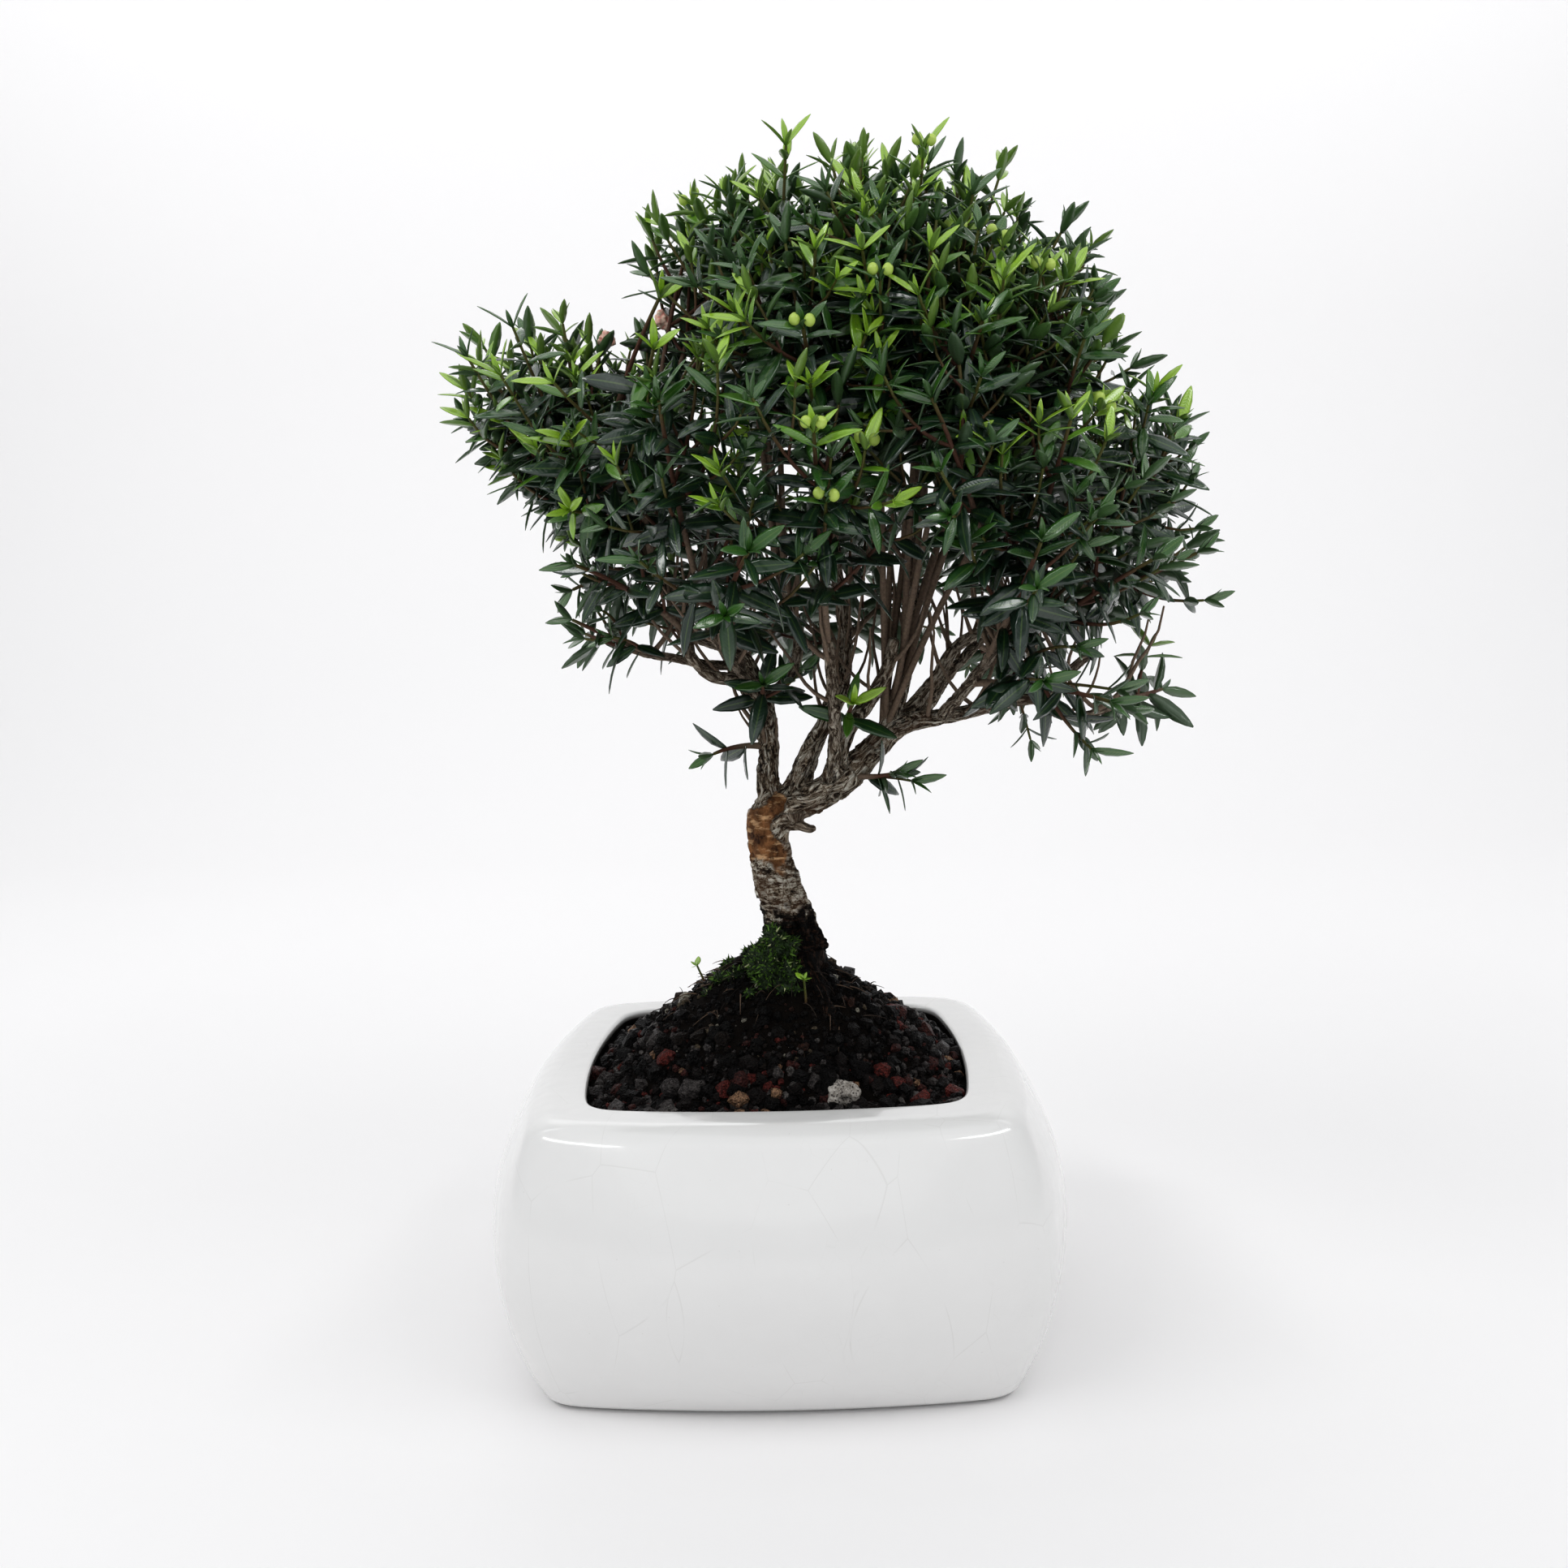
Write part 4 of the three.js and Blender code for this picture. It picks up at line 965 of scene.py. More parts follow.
# Bearing and reach of the surface roots, and the share of the reach, height over the soil and
# radius at the points of each
ROOTS = [(-68, 33), (5, 37), (110, 34), (178, 36)]
ROOT_POINTS = [(0.12, -3, 4.2), (0.4, -2, 2.9), (0.72, -1.8, 1.9), (1, -6, 1.1)]
ROOTS_CENTRE = (8, 1)
STUB_ROUTE = [(2, -1, 151, 2.6), (8.2, -3, 150.6, 1.5), (11.2, -4, 149.6, 1.2), (13.0, -4, 150, 0.9)]
LIMBS = {
    "right": [
        (1, 0, 155.5, 5.8), (12, -2, 158.5, 4.8), (23, -4, 165.6, 4.5), (31.8, -4, 174.5, 3.7),
        (39.5, -6, 180.5, 2.9), (55.7, -8, 183.4, 2.1), (70, -8, 186.7, 1.8), (81.7, -8, 188.6, 1.6),
        (88, -10, 195, 1.5), (94.6, -12, 201, 1.3),
    ],
    "rightLow": [
        (78, -8, 188, 1.5), (86, -10, 182.6, 1.4), (93, -12, 182.5, 1.3), (101, -13, 185.5, 1.2),
    ],
    "rightUpright": [(72, -8, 187.3, 1.5), (77.5, -5, 199, 1.4), (80, -3, 209, 1.3)],
    "rightUpper": [
        (37, -5, 179, 2.5), (49.4, 0, 192.9, 2), (57.3, 5, 203.4, 1.8), (68.4, 8, 208.5, 1.6),
        (79.6, 10, 210.8, 1.5), (94, 12, 212.1, 1.3),
    ],
    "left": [
        (-0.5, 0, 155, 4), (-1.1, 2, 166.8, 3.2), (-0.7, 3, 175.6, 3), (-1, 3, 184, 2.7),
        (-1.8, 3, 190.2, 2.4),
    ],
    "leftArm": [
        (-1.6, 3, 189, 2.2), (-10.3, -4, 194.8, 1.9), (-17.4, -6, 196.5, 1.8), (-23.1, -8, 202.9, 1.6),
        (-25, -9, 211, 1.4),
    ],
    "leftArc": [
        (-1.8, 3, 189, 2.3), (-8.6, 8, 202.6, 2), (-17.3, 10, 206, 1.9), (-24.3, 8, 209.3, 1.9),
        (-30, 6, 221.2, 1.7), (-34, 5, 229, 1.5),
    ],
    "leftWing": [(-33, 5, 226.5, 1.5), (-48.4, 3, 239, 1.4), (-58, 2, 249, 1.3)],
    "leftLow": [
        (-6.9, 6.7, 199, 1.6), (-18, 1, 199.5, 1.4), (-28.4, -3, 201.7, 1.3), (-38, -4, 203.5, 1.2),
    ],
    "leftUpright": [
        (-1.4, 3, 188, 1.9), (7, 2, 197, 1.7), (9, 3, 209, 1.6), (3, 4, 228, 1.4), (2.2, 5, 237, 1.3),
    ],
    "middle": [
        (3, 1, 157, 3), (7.5, 0, 164.5, 2.6), (12.3, 0, 174.6, 2.4), (18.2, 0, 183.5, 2.3),
        (22, 0, 192.5, 2.3), (22.8, 0, 212.2, 2.1), (20.9, 0, 223.8, 2), (20.1, 0, 237.7, 1.9),
    ],
    "innerRight": [
        (17, -4, 163.5, 2.8), (23.9, -8, 180.5, 2.3), (28.6, -9, 186.9, 2.2), (34.3, -11, 196, 2),
        (37, -15, 206, 1.7),
    ],
    "rightStem": [
        (33, -5, 175.5, 2.7), (39.2, -4, 190.9, 2.3), (43.1, -3, 212.4, 2.1), (43, -2, 223.1, 2),
        (42, -1, 240, 1.8),
    ],
    "back": [(7, 3, 158, 3.2), (14, 14, 174, 2.4), (20, 28, 190, 2), (24, 42, 208, 1.6)],
    "backLeft": [(-0.8, 4, 176, 2.2), (-8, 15, 192, 1.8), (-18, 31, 208, 1.5)],
    "backRight": [(44, -4, 181.5, 2.3), (55, 14, 194, 1.8), (69, 33, 206, 1.5)],
    "front": [(19, -6, 167, 2.3), (19, -18, 186, 1.8), (17, -34, 206, 1.5)],
    "frontRight": [(51, -8, 183, 2), (58, -21, 193, 1.7), (65, -38, 206, 1.4)],
    "frontLeft": [(-1.4, 1, 184, 1.9), (-7, -14, 196, 1.5), (-15, -32, 208, 1.3)],
}


def root_route(bearing, reach):
    route = []
    for share, rise, radius in ROOT_POINTS:
        x = ROOTS_CENTRE[0] + share * reach * math.cos(math.radians(bearing))
        y = ROOTS_CENTRE[1] + share * reach * math.sin(math.radians(bearing))
        route.append((x, y, soil_height(x, y) + rise, radius))
    return route


# %% [markdown]
# Old myrtle bark peels. The lower trunk is nearly black where it stays wet, then come pale scales
# that lie across it, and just under the fork a patch has peeled to smooth orange wood. On the limbs
# the bark is split into strips that run along them. So every skin point first learns how far along
# and round its stem it is, and keeps that as the attribute that the finish stretches its noise by.

# %% The nearest stem
WOOD_ROUTES = [TRUNK_ROUTE, *[root_route(*root) for root in ROOTS], STUB_ROUTE, *LIMBS.values()]
MAP_STEPS = 10
CANDIDATES = 4


class WoodMap:
    """Finds the nearest stem for a point of the skin.

    A row is a point of a stem's axis, the heading and radius there, how far along the stem it is
    and the stem's number.
    """

    def __init__(self, routes):
        self.rows = []
        for number, route in enumerate(routes):
            curve = smooth_route(route, MAP_STEPS)
            gone = 0.0
            for here, after in zip(curve, curve[1:]):
                heading = Vector(after[:3] - here[:3])
                self.rows.append((Vector(here[:3]), heading.normalized(), float(here[3]), gone, number))
                gone += heading.length
        self.tree = kdtree.KDTree(len(self.rows))
        for place, row in enumerate(self.rows):
            self.tree.insert(row[0], place)
        self.tree.balance()

    def nearest(self, point):
        best = None
        for _, place, distance in self.tree.find_n(point, CANDIDATES):
            gap = distance - self.rows[place][2]
            if best is None or gap < best[0]:
                best = (gap, place)
        return self.rows[best[1]]


# %% Bark relief
BARK_VOXEL = 0.56
BARK_STRETCH = 0.42
STEM_SHIFT = 31.7
PEELED_SIDE = Vector((-0.42, -0.9, 0))
PEELED_LEVELS = (137, 161)
WET_LEVEL = 124.5


def bark_height(point, row):
    """How far the plates and the lumps stand out at a point, and its place on the stem's bark."""
    centre, heading, radius, gone, number = row
    out = point - centre
    side = heading.orthogonal().normalized()
    angle = math.atan2(out.dot(heading.cross(side)), out.dot(side))
    along = (gone + out.dot(heading)) * BARK_STRETCH
    place = Vector((math.cos(angle) * radius, math.sin(angle) * radius, along))
    place += Vector((0, 0, number * STEM_SHIFT))
    place += noise.noise_vector(place * 0.45) * 1.5
    nearest = noise.voronoi(place * 0.52)[0]
    cracked = clamp(0.62 + 1.6 * noise.noise(place * 0.2))
    plate = 1 - cracked * (1 - min(1.0, (nearest[1] - nearest[0]) * 3.4))
    lumps = noise.fractal(place * 0.4, 0.9, 2.0, 4)
    return plate, lumps, place


def peeled_share(point, out, number):
    """1 on the patch under the fork whose bark has fallen off."""
    if number != 0:
        return 0.0
    edge = noise.fractal(point * 0.16, 0.8, 2.0, 3) * 5
    low, high = PEELED_LEVELS
    level = clamp((point.z + edge - low) / 2) * clamp((high + edge - point.z) / 2)
    side = out.normalized().dot(PEELED_SIDE)
    return level * clamp((side + edge * 0.05 - 0.22) / 0.12)


def wet_share(point):
    """1 at the foot that stays wet."""
    edge = noise.fractal(point * 0.17, 0.8, 2.0, 4) * 9
    return clamp((WET_LEVEL + edge - point.z) / 2.5)


# %% Bark finish
BARK_TONES = [
    (0.0, (0.005, 0.003, 0.002)),
    (0.22, (0.14, 0.097, 0.064)),
    (0.5, (0.63, 0.52, 0.395)),
    (0.78, (0.98, 0.93, 0.82)),
]


def bark_strips(finish, place):
    """The height of the strips along the limbs and of the scales across the trunk."""
    course = finish.attribute("course", "Vector")
    bend = finish.node("ShaderNodeTexNoise", None, {"Vector": course, "Scale": 0.5, "Detail": 3}, 1)
    wavy = finish.vectors("ADD", course, finish.scaled(bend, 1.6))
    flat = finish.vectors("MULTIPLY", place, (0.3, 0.3, 1.0))
    long = finish.vectors("MULTIPLY", wavy, (1.0, 1.0, 0.4))
    strip = finish.between(finish.noise(long, 1.1, 7, 0.75), 0.42, 0.60)
    scale = finish.between(finish.noise(flat, 0.8, 7, 0.75), 0.42, 0.58)
    flake = finish.between(finish.cells(wavy, 0.5, "DISTANCE_TO_EDGE"), 0.0, 0.1)
    scaly = finish.attribute("scaly")
    return (strip * (1 - scaly) + scale * scaly) * (flake * 0.6 + 0.4), flat


def bark():
    finish = Finish("bark", Specular_IOR_Level=0.2)
    place = finish.place()
    plate, peeled, wet, thin = [finish.attribute(name) for name in ("plate", "peeled", "wet", "thin")]
    fine = finish.noise(place, 0.9, 6, 0.7)
    broad = finish.noise(place, 0.12, 3)
    split, flat = bark_strips(finish, place)
    lit = finish.between(split * 0.8 + fine * 0.4, 0.18, 0.98)
    grey = finish.ramp(lit, BARK_TONES)
    grey = finish.mix(finish.between(plate, 0.05, 0.4), (0.014, 0.009, 0.007), grey)
    grey = finish.mix(finish.between(broad, 0.5, 0.68) * 0.45, grey, (0.19, 0.10, 0.055))
    young = finish.mix(lit, (0.060, 0.040, 0.028), (0.66, 0.54, 0.42))
    stain = finish.between(finish.noise(place, 0.28, 5, 0.7), 0.36, 0.66)
    orange = finish.mix(stain, (0.040, 0.016, 0.007), (0.36, 0.170, 0.070))
    scar = finish.between(finish.noise(flat, 0.55, 4, 0.6), 0.54, 0.64)
    orange = finish.mix(scar * 0.85, orange, (0.70, 0.46, 0.26))
    orange = finish.mix(finish.between(plate, 0.0, 0.35), (0.020, 0.010, 0.006), orange)
    colour = finish.mix(thin, grey, young)
    colour = finish.mix(peeled, colour, orange)
    soaked = finish.mix(finish.between(lit, 0.35, 1.0), (0.002, 0.0015, 0.001), (0.075, 0.040, 0.026))
    finish.feed("Base Color", finish.mix(wet, colour, soaked))
    finish.feed("Roughness", 0.86 - wet * 0.3 - peeled * 0.2)
    finish.bump(split * (1 - peeled * 0.8) + fine * 0.7, 0.9)
    return finish.material


# %% Melted wood
STEM_SIDES = 20


def melted_stems(finish):
    stems = Stems()
    for route in WOOD_ROUTES:
        curve = smooth_route(route)
        stems.add(curve[:, :3], curve[:, 3], [1] * len(curve))
    wood = stems.piece("trunk_and_limbs", STEM_SIDES, finish)
    melt = wood.modifiers.new("melt", "REMESH")
    melt.mode = "VOXEL"
    melt.voxel_size = BARK_VOXEL * MM
    return bake(wood)


# %% Trunk piece
SCALY_LEVEL = 146
# Bark thins out on stems between these radii
THIN_RADIUS, THICK_RADIUS = 1.2, 2.4


def bark_at(point, row):
    """How far the bark stands out at a point, its place on the bark, and the marks it keeps."""
    centre, _, radius, _, number = row
    plate, lumps, place = bark_height(point, row)
    peeled, wet = peeled_share(point, point - centre, number), wet_share(point)
    rise = (plate - 0.6) * 0.16 * radius * (1 - 0.75 * peeled) + lumps * (0.12 + 0.1 * wet) * radius
    rise -= 0.06 * radius * peeled
    thin = clamp((THICK_RADIUS - radius) / (THICK_RADIUS - THIN_RADIUS))
    scaly = clamp((SCALY_LEVEL - point.z) / 6) if number == 0 else 0.0
    return rise, place, {"plate": plate, "peeled": peeled, "wet": wet, "thin": thin, "scaly": scaly}


def make_trunk(finish):
    trunk = melted_stems(finish)
    mesh = trunk.data
    wood = WoodMap(WOOD_ROUTES)
    marks = {}
    moved, course = [], []
    for vertex in mesh.vertices:
        point = vertex.co / MM
        rise, place, found = bark_at(point, wood.nearest(point))
        course += list(place)
        moved += list((point + vertex.normal * rise) * MM)
        for name, value in found.items():
            marks.setdefault(name, []).append(value)
    mesh.vertices.foreach_set("co", moved)
    for name, values in marks.items():
        store(mesh, name, values)
    store(mesh, "course", course, "FLOAT_VECTOR")
    mesh.polygons.foreach_set("use_smooth", [True] * len(mesh.polygons))
    mesh.materials.clear()
    mesh.materials.append(finish)
    mesh.update()
    return settle(trunk, "bark", "trunk")


make_trunk(bark())


# %% [markdown]
# ## Where the shoots grow
#
# The crown is a clipped dome with a wing on the left. Rings of shoots cover it, each growing from
# the nearest limb out to a point of the dome, as in the solids. The same formula is used here, so
# each fine spray fills the place of its plain one. Fill shoots close the gaps that are left and
# crest shoots stand out of the dome: these two kinds have no solid of their own.

# %% The dome and its rings
CROWN_CENTRE = (24, 2, 226)
CROWN_RADII = (103, 84, 112)
LEFT_PULL_IN = 0.2
WING_REACH, WING_ELEVATION, WING_SPREAD = 0.42, 29, 10
SPRAY_LENGTH = 54
BRANCH_SPACING = 5.5
CROWN_RINGS = [
    # name, sprays, elevation, first bearing and the arc that they share, in degrees
    ("top", 1, 88, 0, 360),
    ("upper", 6, 65, 25, 360),
    ("shoulder", 10, 42, 0, 360),
    ("middle", 11, 20, 15, 360),
    ("lower", 10, 0, 0, 360),
    ("right_skirt", 3, -19, -42, 126),
    ("left_skirt", 2, -7, 168, 60),
]
# Bearing and elevation of the fill shoots
FILL_SHOOTS = [(262, 31), (238, 30), (292, 32), (278, 54), (318, 30), (264, 16)]
# Tips of the crest shoots, mostly on the upper left and on the wing
CREST_TIPS = [
    (5, -5, 335), (-7, -10, 330), (-20, -5, 322), (-12, 12, 325), (46, -6, 327), (58, 0, 320),
    (22, 18, 331), (80, -10, 304), (-84, 0, 277), (-72, -8, 286), (-56, 4, 289), (-74, -14, 270),
]
# Start, bend and tip of sprays that grow on bare limbs, with leaves from this share on
LIMB_SPRAY_BARE = 0.3
LIMB_SPRAYS = {
    "fork": [(-1.6, 3, 187), (-2, -9, 190), (-1.5, -21, 194)],
    "left_limb": [(-0.8, 2.7, 174), (-9, -1, 176), (-17, -6, 173)],
    "bend": [(24, -4, 166), (29, -12, 165), (36, -16, 167)],
    "inner": [(23.9, -8, 180.5), (22, -16, 183), (24, -25, 188)],
}


def crown_point(bearing, elevation):
    turn, rise = math.radians(bearing), math.radians(elevation)
    left = max(0.0, -math.cos(turn)) ** 2
    wing = math.exp(-(((elevation - WING_ELEVATION) / WING_SPREAD) ** 2))
    level = math.cos(rise) * (1 + left * (WING_REACH * wing - LEFT_PULL_IN))
    return Vector((
        CROWN_CENTRE[0] + CROWN_RADII[0] * level * math.cos(turn),
        CROWN_CENTRE[1] + CROWN_RADII[1] * level * math.sin(turn),
        CROWN_CENTRE[2] + CROWN_RADII[2] * math.sin(rise) * (1 - left * 0.1),
    ))


def point_on_limb(name, back):
    points = [Vector(row[:3]) for row in reversed(LIMBS[name])]
    segment = 0
    while segment < len(points) - 2 and back > (points[segment + 1] - points[segment]).length:
        back -= (points[segment + 1] - points[segment]).length
        segment += 1
    step = points[segment + 1] - points[segment]
    return points[segment] + step * (back / step.length)


def limb_length(name):
    return chain_length([Vector(row[:3]) for row in LIMBS[name]])


# %% Plans of the sprays
def spray_plans():
    """Name, number, start, bend, tip and bare share of every spray."""
    plans = []
    used = {}
    for ring, count, elevation, first, arc in CROWN_RINGS:
        for place in range(count):
            number = len(plans) + 1
            bearing = first + arc * (place + 0.5 * (draw(number, 1) - 0.5)) / count
            tip = crown_point(bearing, elevation + 6 * (draw(number, 2) - 0.5))
            plans.append((f"{ring}_{place + 1}", number, *spray_route(tip, used)))
    for name, points in LIMB_SPRAYS.items():
        plans.append((name, len(plans) + 1, *[Vector(point) for point in points], LIMB_SPRAY_BARE))
    for place, aim in enumerate(FILL_SHOOTS):
        plans.append((f"fill_{place + 1}", len(plans) + 1, *spray_route(crown_point(*aim), used)))
    for place, tip in enumerate(CREST_TIPS):
        plans.append((f"crest_{place + 1}", len(plans) + 1, *spray_route(Vector(tip), used)))
    return plans


def spray_route(tip, used):
    """From the nearest limb to a tip, each new spray a little lower on that limb."""
    limb = min(LIMBS, key=lambda name: (Vector(LIMBS[name][-1][:3]) - tip).length)
    used[limb] = used.get(limb, -1) + 1
    start = point_on_limb(limb, min(0.6 + BRANCH_SPACING * used[limb], limb_length(limb) - 1))
    heading = (point_on_limb(limb, 0) - point_on_limb(limb, 8)).normalized()
    length = (tip - start).length
    bend = start.lerp(tip, 0.4) + heading * 0.12 * length
    return start, bend, tip, min(0.6, max(0.15, 1 - SPRAY_LENGTH / length))


PLANS = spray_plans()
print("sprays", len(PLANS))


# %% [markdown]
# ## One leaf
#
# A myrtle leaf is lance-shaped, leathery and folded a little along its midrib, with edges that roll
# under. Six points round each of a few sections are enough for that and for a real thickness. The
# leaf carries where it is across, along and under itself, so the finish can draw its veins.

# %% Leaf shapes
LEAF_LENGTH = 16
LEAF_WIDTH = 5.0
LEAF_THICKNESS = 0.34
LEAF_TIP_HALF = 0.06
SECTION_POINTS = 6
LEAF_SECTIONS = (0.0, 0.13, 0.38, 0.66, 0.88, 1.0)
# Each kind: how round it is, its fold along the midrib, its curl down to the tip, and its twist.
# Four kinds of grown leaf, two of young leaf and the round seed leaf
LEAF_KINDS = [
    (1.00, 0.14, 0.46, 0.3),
    (1.08, 0.10, 0.28, -0.4),
    (0.94, 0.18, 0.14, 0.2),
    (0.88, 0.22, 0.36, -0.3),
    (0.92, 0.30, 0.16, 0.15),
    (0.86, 0.38, 0.30, -0.2),
    (1.90, 0.10, 0.10, 0.0),
]
YOUNG_KIND, SEED_LEAF_KIND = 4, 6


def leaf_half_width(along, round_share):
    lance = math.sin(math.pi * min(1.0, along * 0.985) ** 0.88) ** 0.72
    stalk = 0.11 if along < 0.05 else 0.0
    return LEAF_WIDTH / 2 * max(lance * round_share, stalk)


def leaf_shape(kind):
    round_share, fold, curl, twist = LEAF_KINDS[kind]
    points, across_values, along_values = [], [], []
    for along in LEAF_SECTIONS:
        half = leaf_half_width(along, round_share)
        bend = curl * along * along
        middle = Vector((0, along * LEAF_LENGTH * (1 - 0.12 * abs(curl)), -bend * LEAF_LENGTH * 0.55))
        turn = Matrix.Rotation(twist * along, 3, "Y")
        thick = LEAF_THICKNESS * (0.35 if along > 0.95 else 1)
        section = (
            (-1, 0.94 * fold * half - 0.1 * half, 0.0),
            (-0.55, 0.62 * fold * half, thick / 2),
            (0, 0, thick * 0.35),
            (0.55, 0.62 * fold * half, thick / 2),
            (1, 0.94 * fold * half - 0.1 * half, 0.0),
            (0, 0, -thick * 0.8),
        )
        for across, lift, rise in section:
            points.append(middle + turn @ Vector((across * max(half, LEAF_TIP_HALF), 0, lift + rise)))
            across_values.append(across)
            along_values.append(along)
    faces, under = [], []
    for first in range(0, len(points) - SECTION_POINTS, SECTION_POINTS):
        for step in range(SECTION_POINTS):
            here, beside = first + step, first + (step + 1) % SECTION_POINTS
            faces.append((here, beside, beside + SECTION_POINTS, here + SECTION_POINTS))
            under.append(1.0 if step >= 4 else 0.0)
    last = len(points) - SECTION_POINTS
    faces += [tuple(reversed(range(SECTION_POINTS))), tuple(range(last, len(points)))]
    under += [0.0, 0.0]
    shape = mesh_object(f"leaf_{kind}", points, [tuple(reversed(face)) for face in faces])
    store(shape.data, "across", across_values)
    store(shape.data, "along", along_values)
    store(shape.data, "under", under, domain="FACE")
    return shape


# %% [markdown]
# Old leaves are dark blue-green with a dull bloom and a painted sheen, pale blue-grey patches that
# stand for the white room reflected in their glossy faces. Leaves of this year are clear green, and
# the newest pairs at the tips are yellow-green. The tint of each leaf is one number, so that the mix
# of ages can be set while the shoots grow. The upper face is glossy, the lower face paler and dull.

# %% Leaf finish
LEAF_TINTS = [
    (0.0, (0.006, 0.022, 0.013)),
    (0.2, (0.010, 0.042, 0.015)),
    (0.42, (0.036, 0.125, 0.012)),
    (0.7, (0.13, 0.31, 0.014)),
    (1.0, (0.34, 0.55, 0.040)),
]


def leaf_finish():
    finish = Finish("leaf", IOR=1.5, Specular_IOR_Level=0.6, Coat_Weight=1.0, Coat_Roughness=0.14)
    tint = finish.attribute("tint")
    across = finish.attribute("across").size()
    under = finish.attribute("under")
    place = finish.place()
    mottle = finish.noise(place, 0.35, 3)
    colour = finish.ramp(tint + (mottle - 0.5) * 0.16, LEAF_TINTS)
    vein = 1 - finish.between(across, 0.04, 0.14)
    colour = finish.mix(vein * 0.35 * (1 - under), colour, (0.16, 0.26, 0.06))
    colour = finish.mix(under * 0.6, colour, (0.085, 0.15, 0.065))
    # painted sheen: pale blue-grey patches on the old leaves, partly their bloom and partly the white
    # room reflected in them
    bloom = finish.between(finish.noise(place, 0.05, 2), 0.45, 0.75) * (1 - tint) * 0.16
    finish.feed("Base Color", finish.mix(bloom, colour, (0.12, 0.19, 0.16)))
    finish.feed("Roughness", 0.22 + under * 0.25 + mottle * 0.16)
    ribs = across.sum("SINE", (finish.attribute("along") * 9 + across) * 9)
    finish.bump(ribs * 0.12 + mottle * 0.5, 0.12)
    return finish.material


def twig_finish():
    finish = Finish("twig", Specular_IOR_Level=0.4)
    age = finish.attribute("age")
    place = finish.place()
    fine = finish.noise(place, 1.2, 4, 0.65)
    old = finish.mix(fine, (0.050, 0.035, 0.025), (0.30, 0.22, 0.16))
    red = finish.mix(fine, (0.045, 0.019, 0.013), (0.15, 0.065, 0.038))
    green = finish.mix(fine, (0.060, 0.085, 0.014), (0.120, 0.150, 0.026))
    colour = finish.mix(finish.between(age, 0.05, 0.3), green, red)
    finish.feed("Base Color", finish.mix(finish.between(age, 0.5, 0.8), colour, old))
    finish.feed("Roughness", 0.55 + age * 0.3)
    finish.bump(fine, 0.2)
    return finish.material


# %% [markdown]
# ## Leafy shoots
#
# Myrtle leaves stand in pairs, each pair square to the one before. Walking up a shoot and turning
# by a quarter at each node gives that, and side shoots rise from the same nodes. Python works out
# where every leaf sits and how it is turned, and Geometry Nodes puts the leaves there.

# %% Frames along a shoot
def shoot_frames(points):
    """Heading and one side direction at every point, carried along without twist."""
    headings = []
    for place in range(len(points)):
        before, after = max(place - 1, 0), min(place + 1, len(points) - 1)
        headings.append((points[after] - points[before]).normalized())
    level = headings[0].cross(UP if abs(headings[0].z) < 0.95 else Vector((1, 0, 0))).normalized()
    sides = []
    for heading in headings:
        level = (level - heading * level.dot(heading)).normalized()
        sides.append(level)
    return headings, sides


def along_chain(points, distance):
    """Index and share of the place that lies a distance along a chain of points."""
    for place in range(len(points) - 1):
        step = (points[place + 1] - points[place]).length
        if distance <= step:
            return place, distance / step
        distance -= step
    return len(points) - 2, 1.0


# %% Leaves to be placed
def leaned(heading, out, lean):
    """A direction that leans away from a heading by an angle."""
    return heading * math.cos(lean) + out * math.sin(lean)


def face_of(along, heading):
    """Where the upper face of a leaf looks, as near to the shoot's heading as it can."""
    return (heading - along * heading.dot(along)).normalized()


class Leaves:
    def __init__(self):
        self.places, self.turns, self.sizes, self.kinds, self.tints = [], [], [], [], []

    def add(self, place, along, face, size, kind, tint):
        """A leaf that points along one way and turns its upper face another."""
        side = along.cross(face).normalized()
        upright = side.cross(along)
        turn = Matrix((side, along, upright)).transposed().to_euler()
        self.places.append(place)
        self.turns += list(turn)
        self.sizes.append(size)
        self.kinds.append(kind)
        self.tints.append(tint)

    def cloud(self, name):
        made = mesh_object(name, self.places, [])
        store(made.data, "turn", self.turns, "FLOAT_VECTOR")
        store(made.data, "kind", self.kinds, "INT")
        store(made.data, "size", self.sizes)
        store(made.data, "tint", self.tints)
        return made


# %% The tree that hangs the leaves
def foliage_tree():
    maker = Recipe("foliage", Places="Geometry", Shapes="Collection")
    cloud = maker.node("GeometryNodeMeshToPoints", None, {"Mesh": maker.given("Places")})
    turn = maker.node("FunctionNodeEulerToRotation", None, {0: maker.kept("turn", "FLOAT_VECTOR")})
    return maker.end(maker.hang(cloud, maker.kept("kind", "INT"), turn, maker.kept("size", "FLOAT")))


# %% Growing one shoot
TIP_TAPER = 14
FIRST_LEAF_GAP = 2.0
LAST_LEAF_GAP = 1.5
STAR_LEAVES = 4
# Young leaves are brighter in the sun: from this level up, over this rise
SHADE_LEVEL = 200
SUN_RISE = 110
FLOWERS = [sum(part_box(name), Vector()) / 2 / MM for name in ("flower_upper", "flower_lower")]
FLOWER_VIEW = 11


def hides_flower(point):
    """The two blossoms are in plain view, so no leaf grows just in front of them."""
    for flower in FLOWERS:
        sight = (CAMERA_PLACE - flower).normalized()
        ahead = (point - flower).dot(sight)
        if ahead > -1 and (point - flower - sight * ahead).length < FLOWER_VIEW:
            return True
    return False


def tip_star(tip, heading, level, seed, vigour, leaves, tint):
    """Small leaves round a shoot's tip, every other one upright and smaller."""
    for blade in range(STAR_LEAVES):
        out = Matrix.Rotation(math.pi / 2 * blade + 0.4, 3, heading) @ level
        inner = blade % 2
        leans = (8, 24) if inner else (26, 56)
        along = leaned(heading, out, math.radians(spread(*leans, seed, blade + 200))).normalized()
        size = spread(0.5, 0.8, seed, blade + 220) * vigour * (0.62 if inner else 1)
        leaves.add(tip, along, face_of(along, heading), size, YOUNG_KIND + inner, tint)


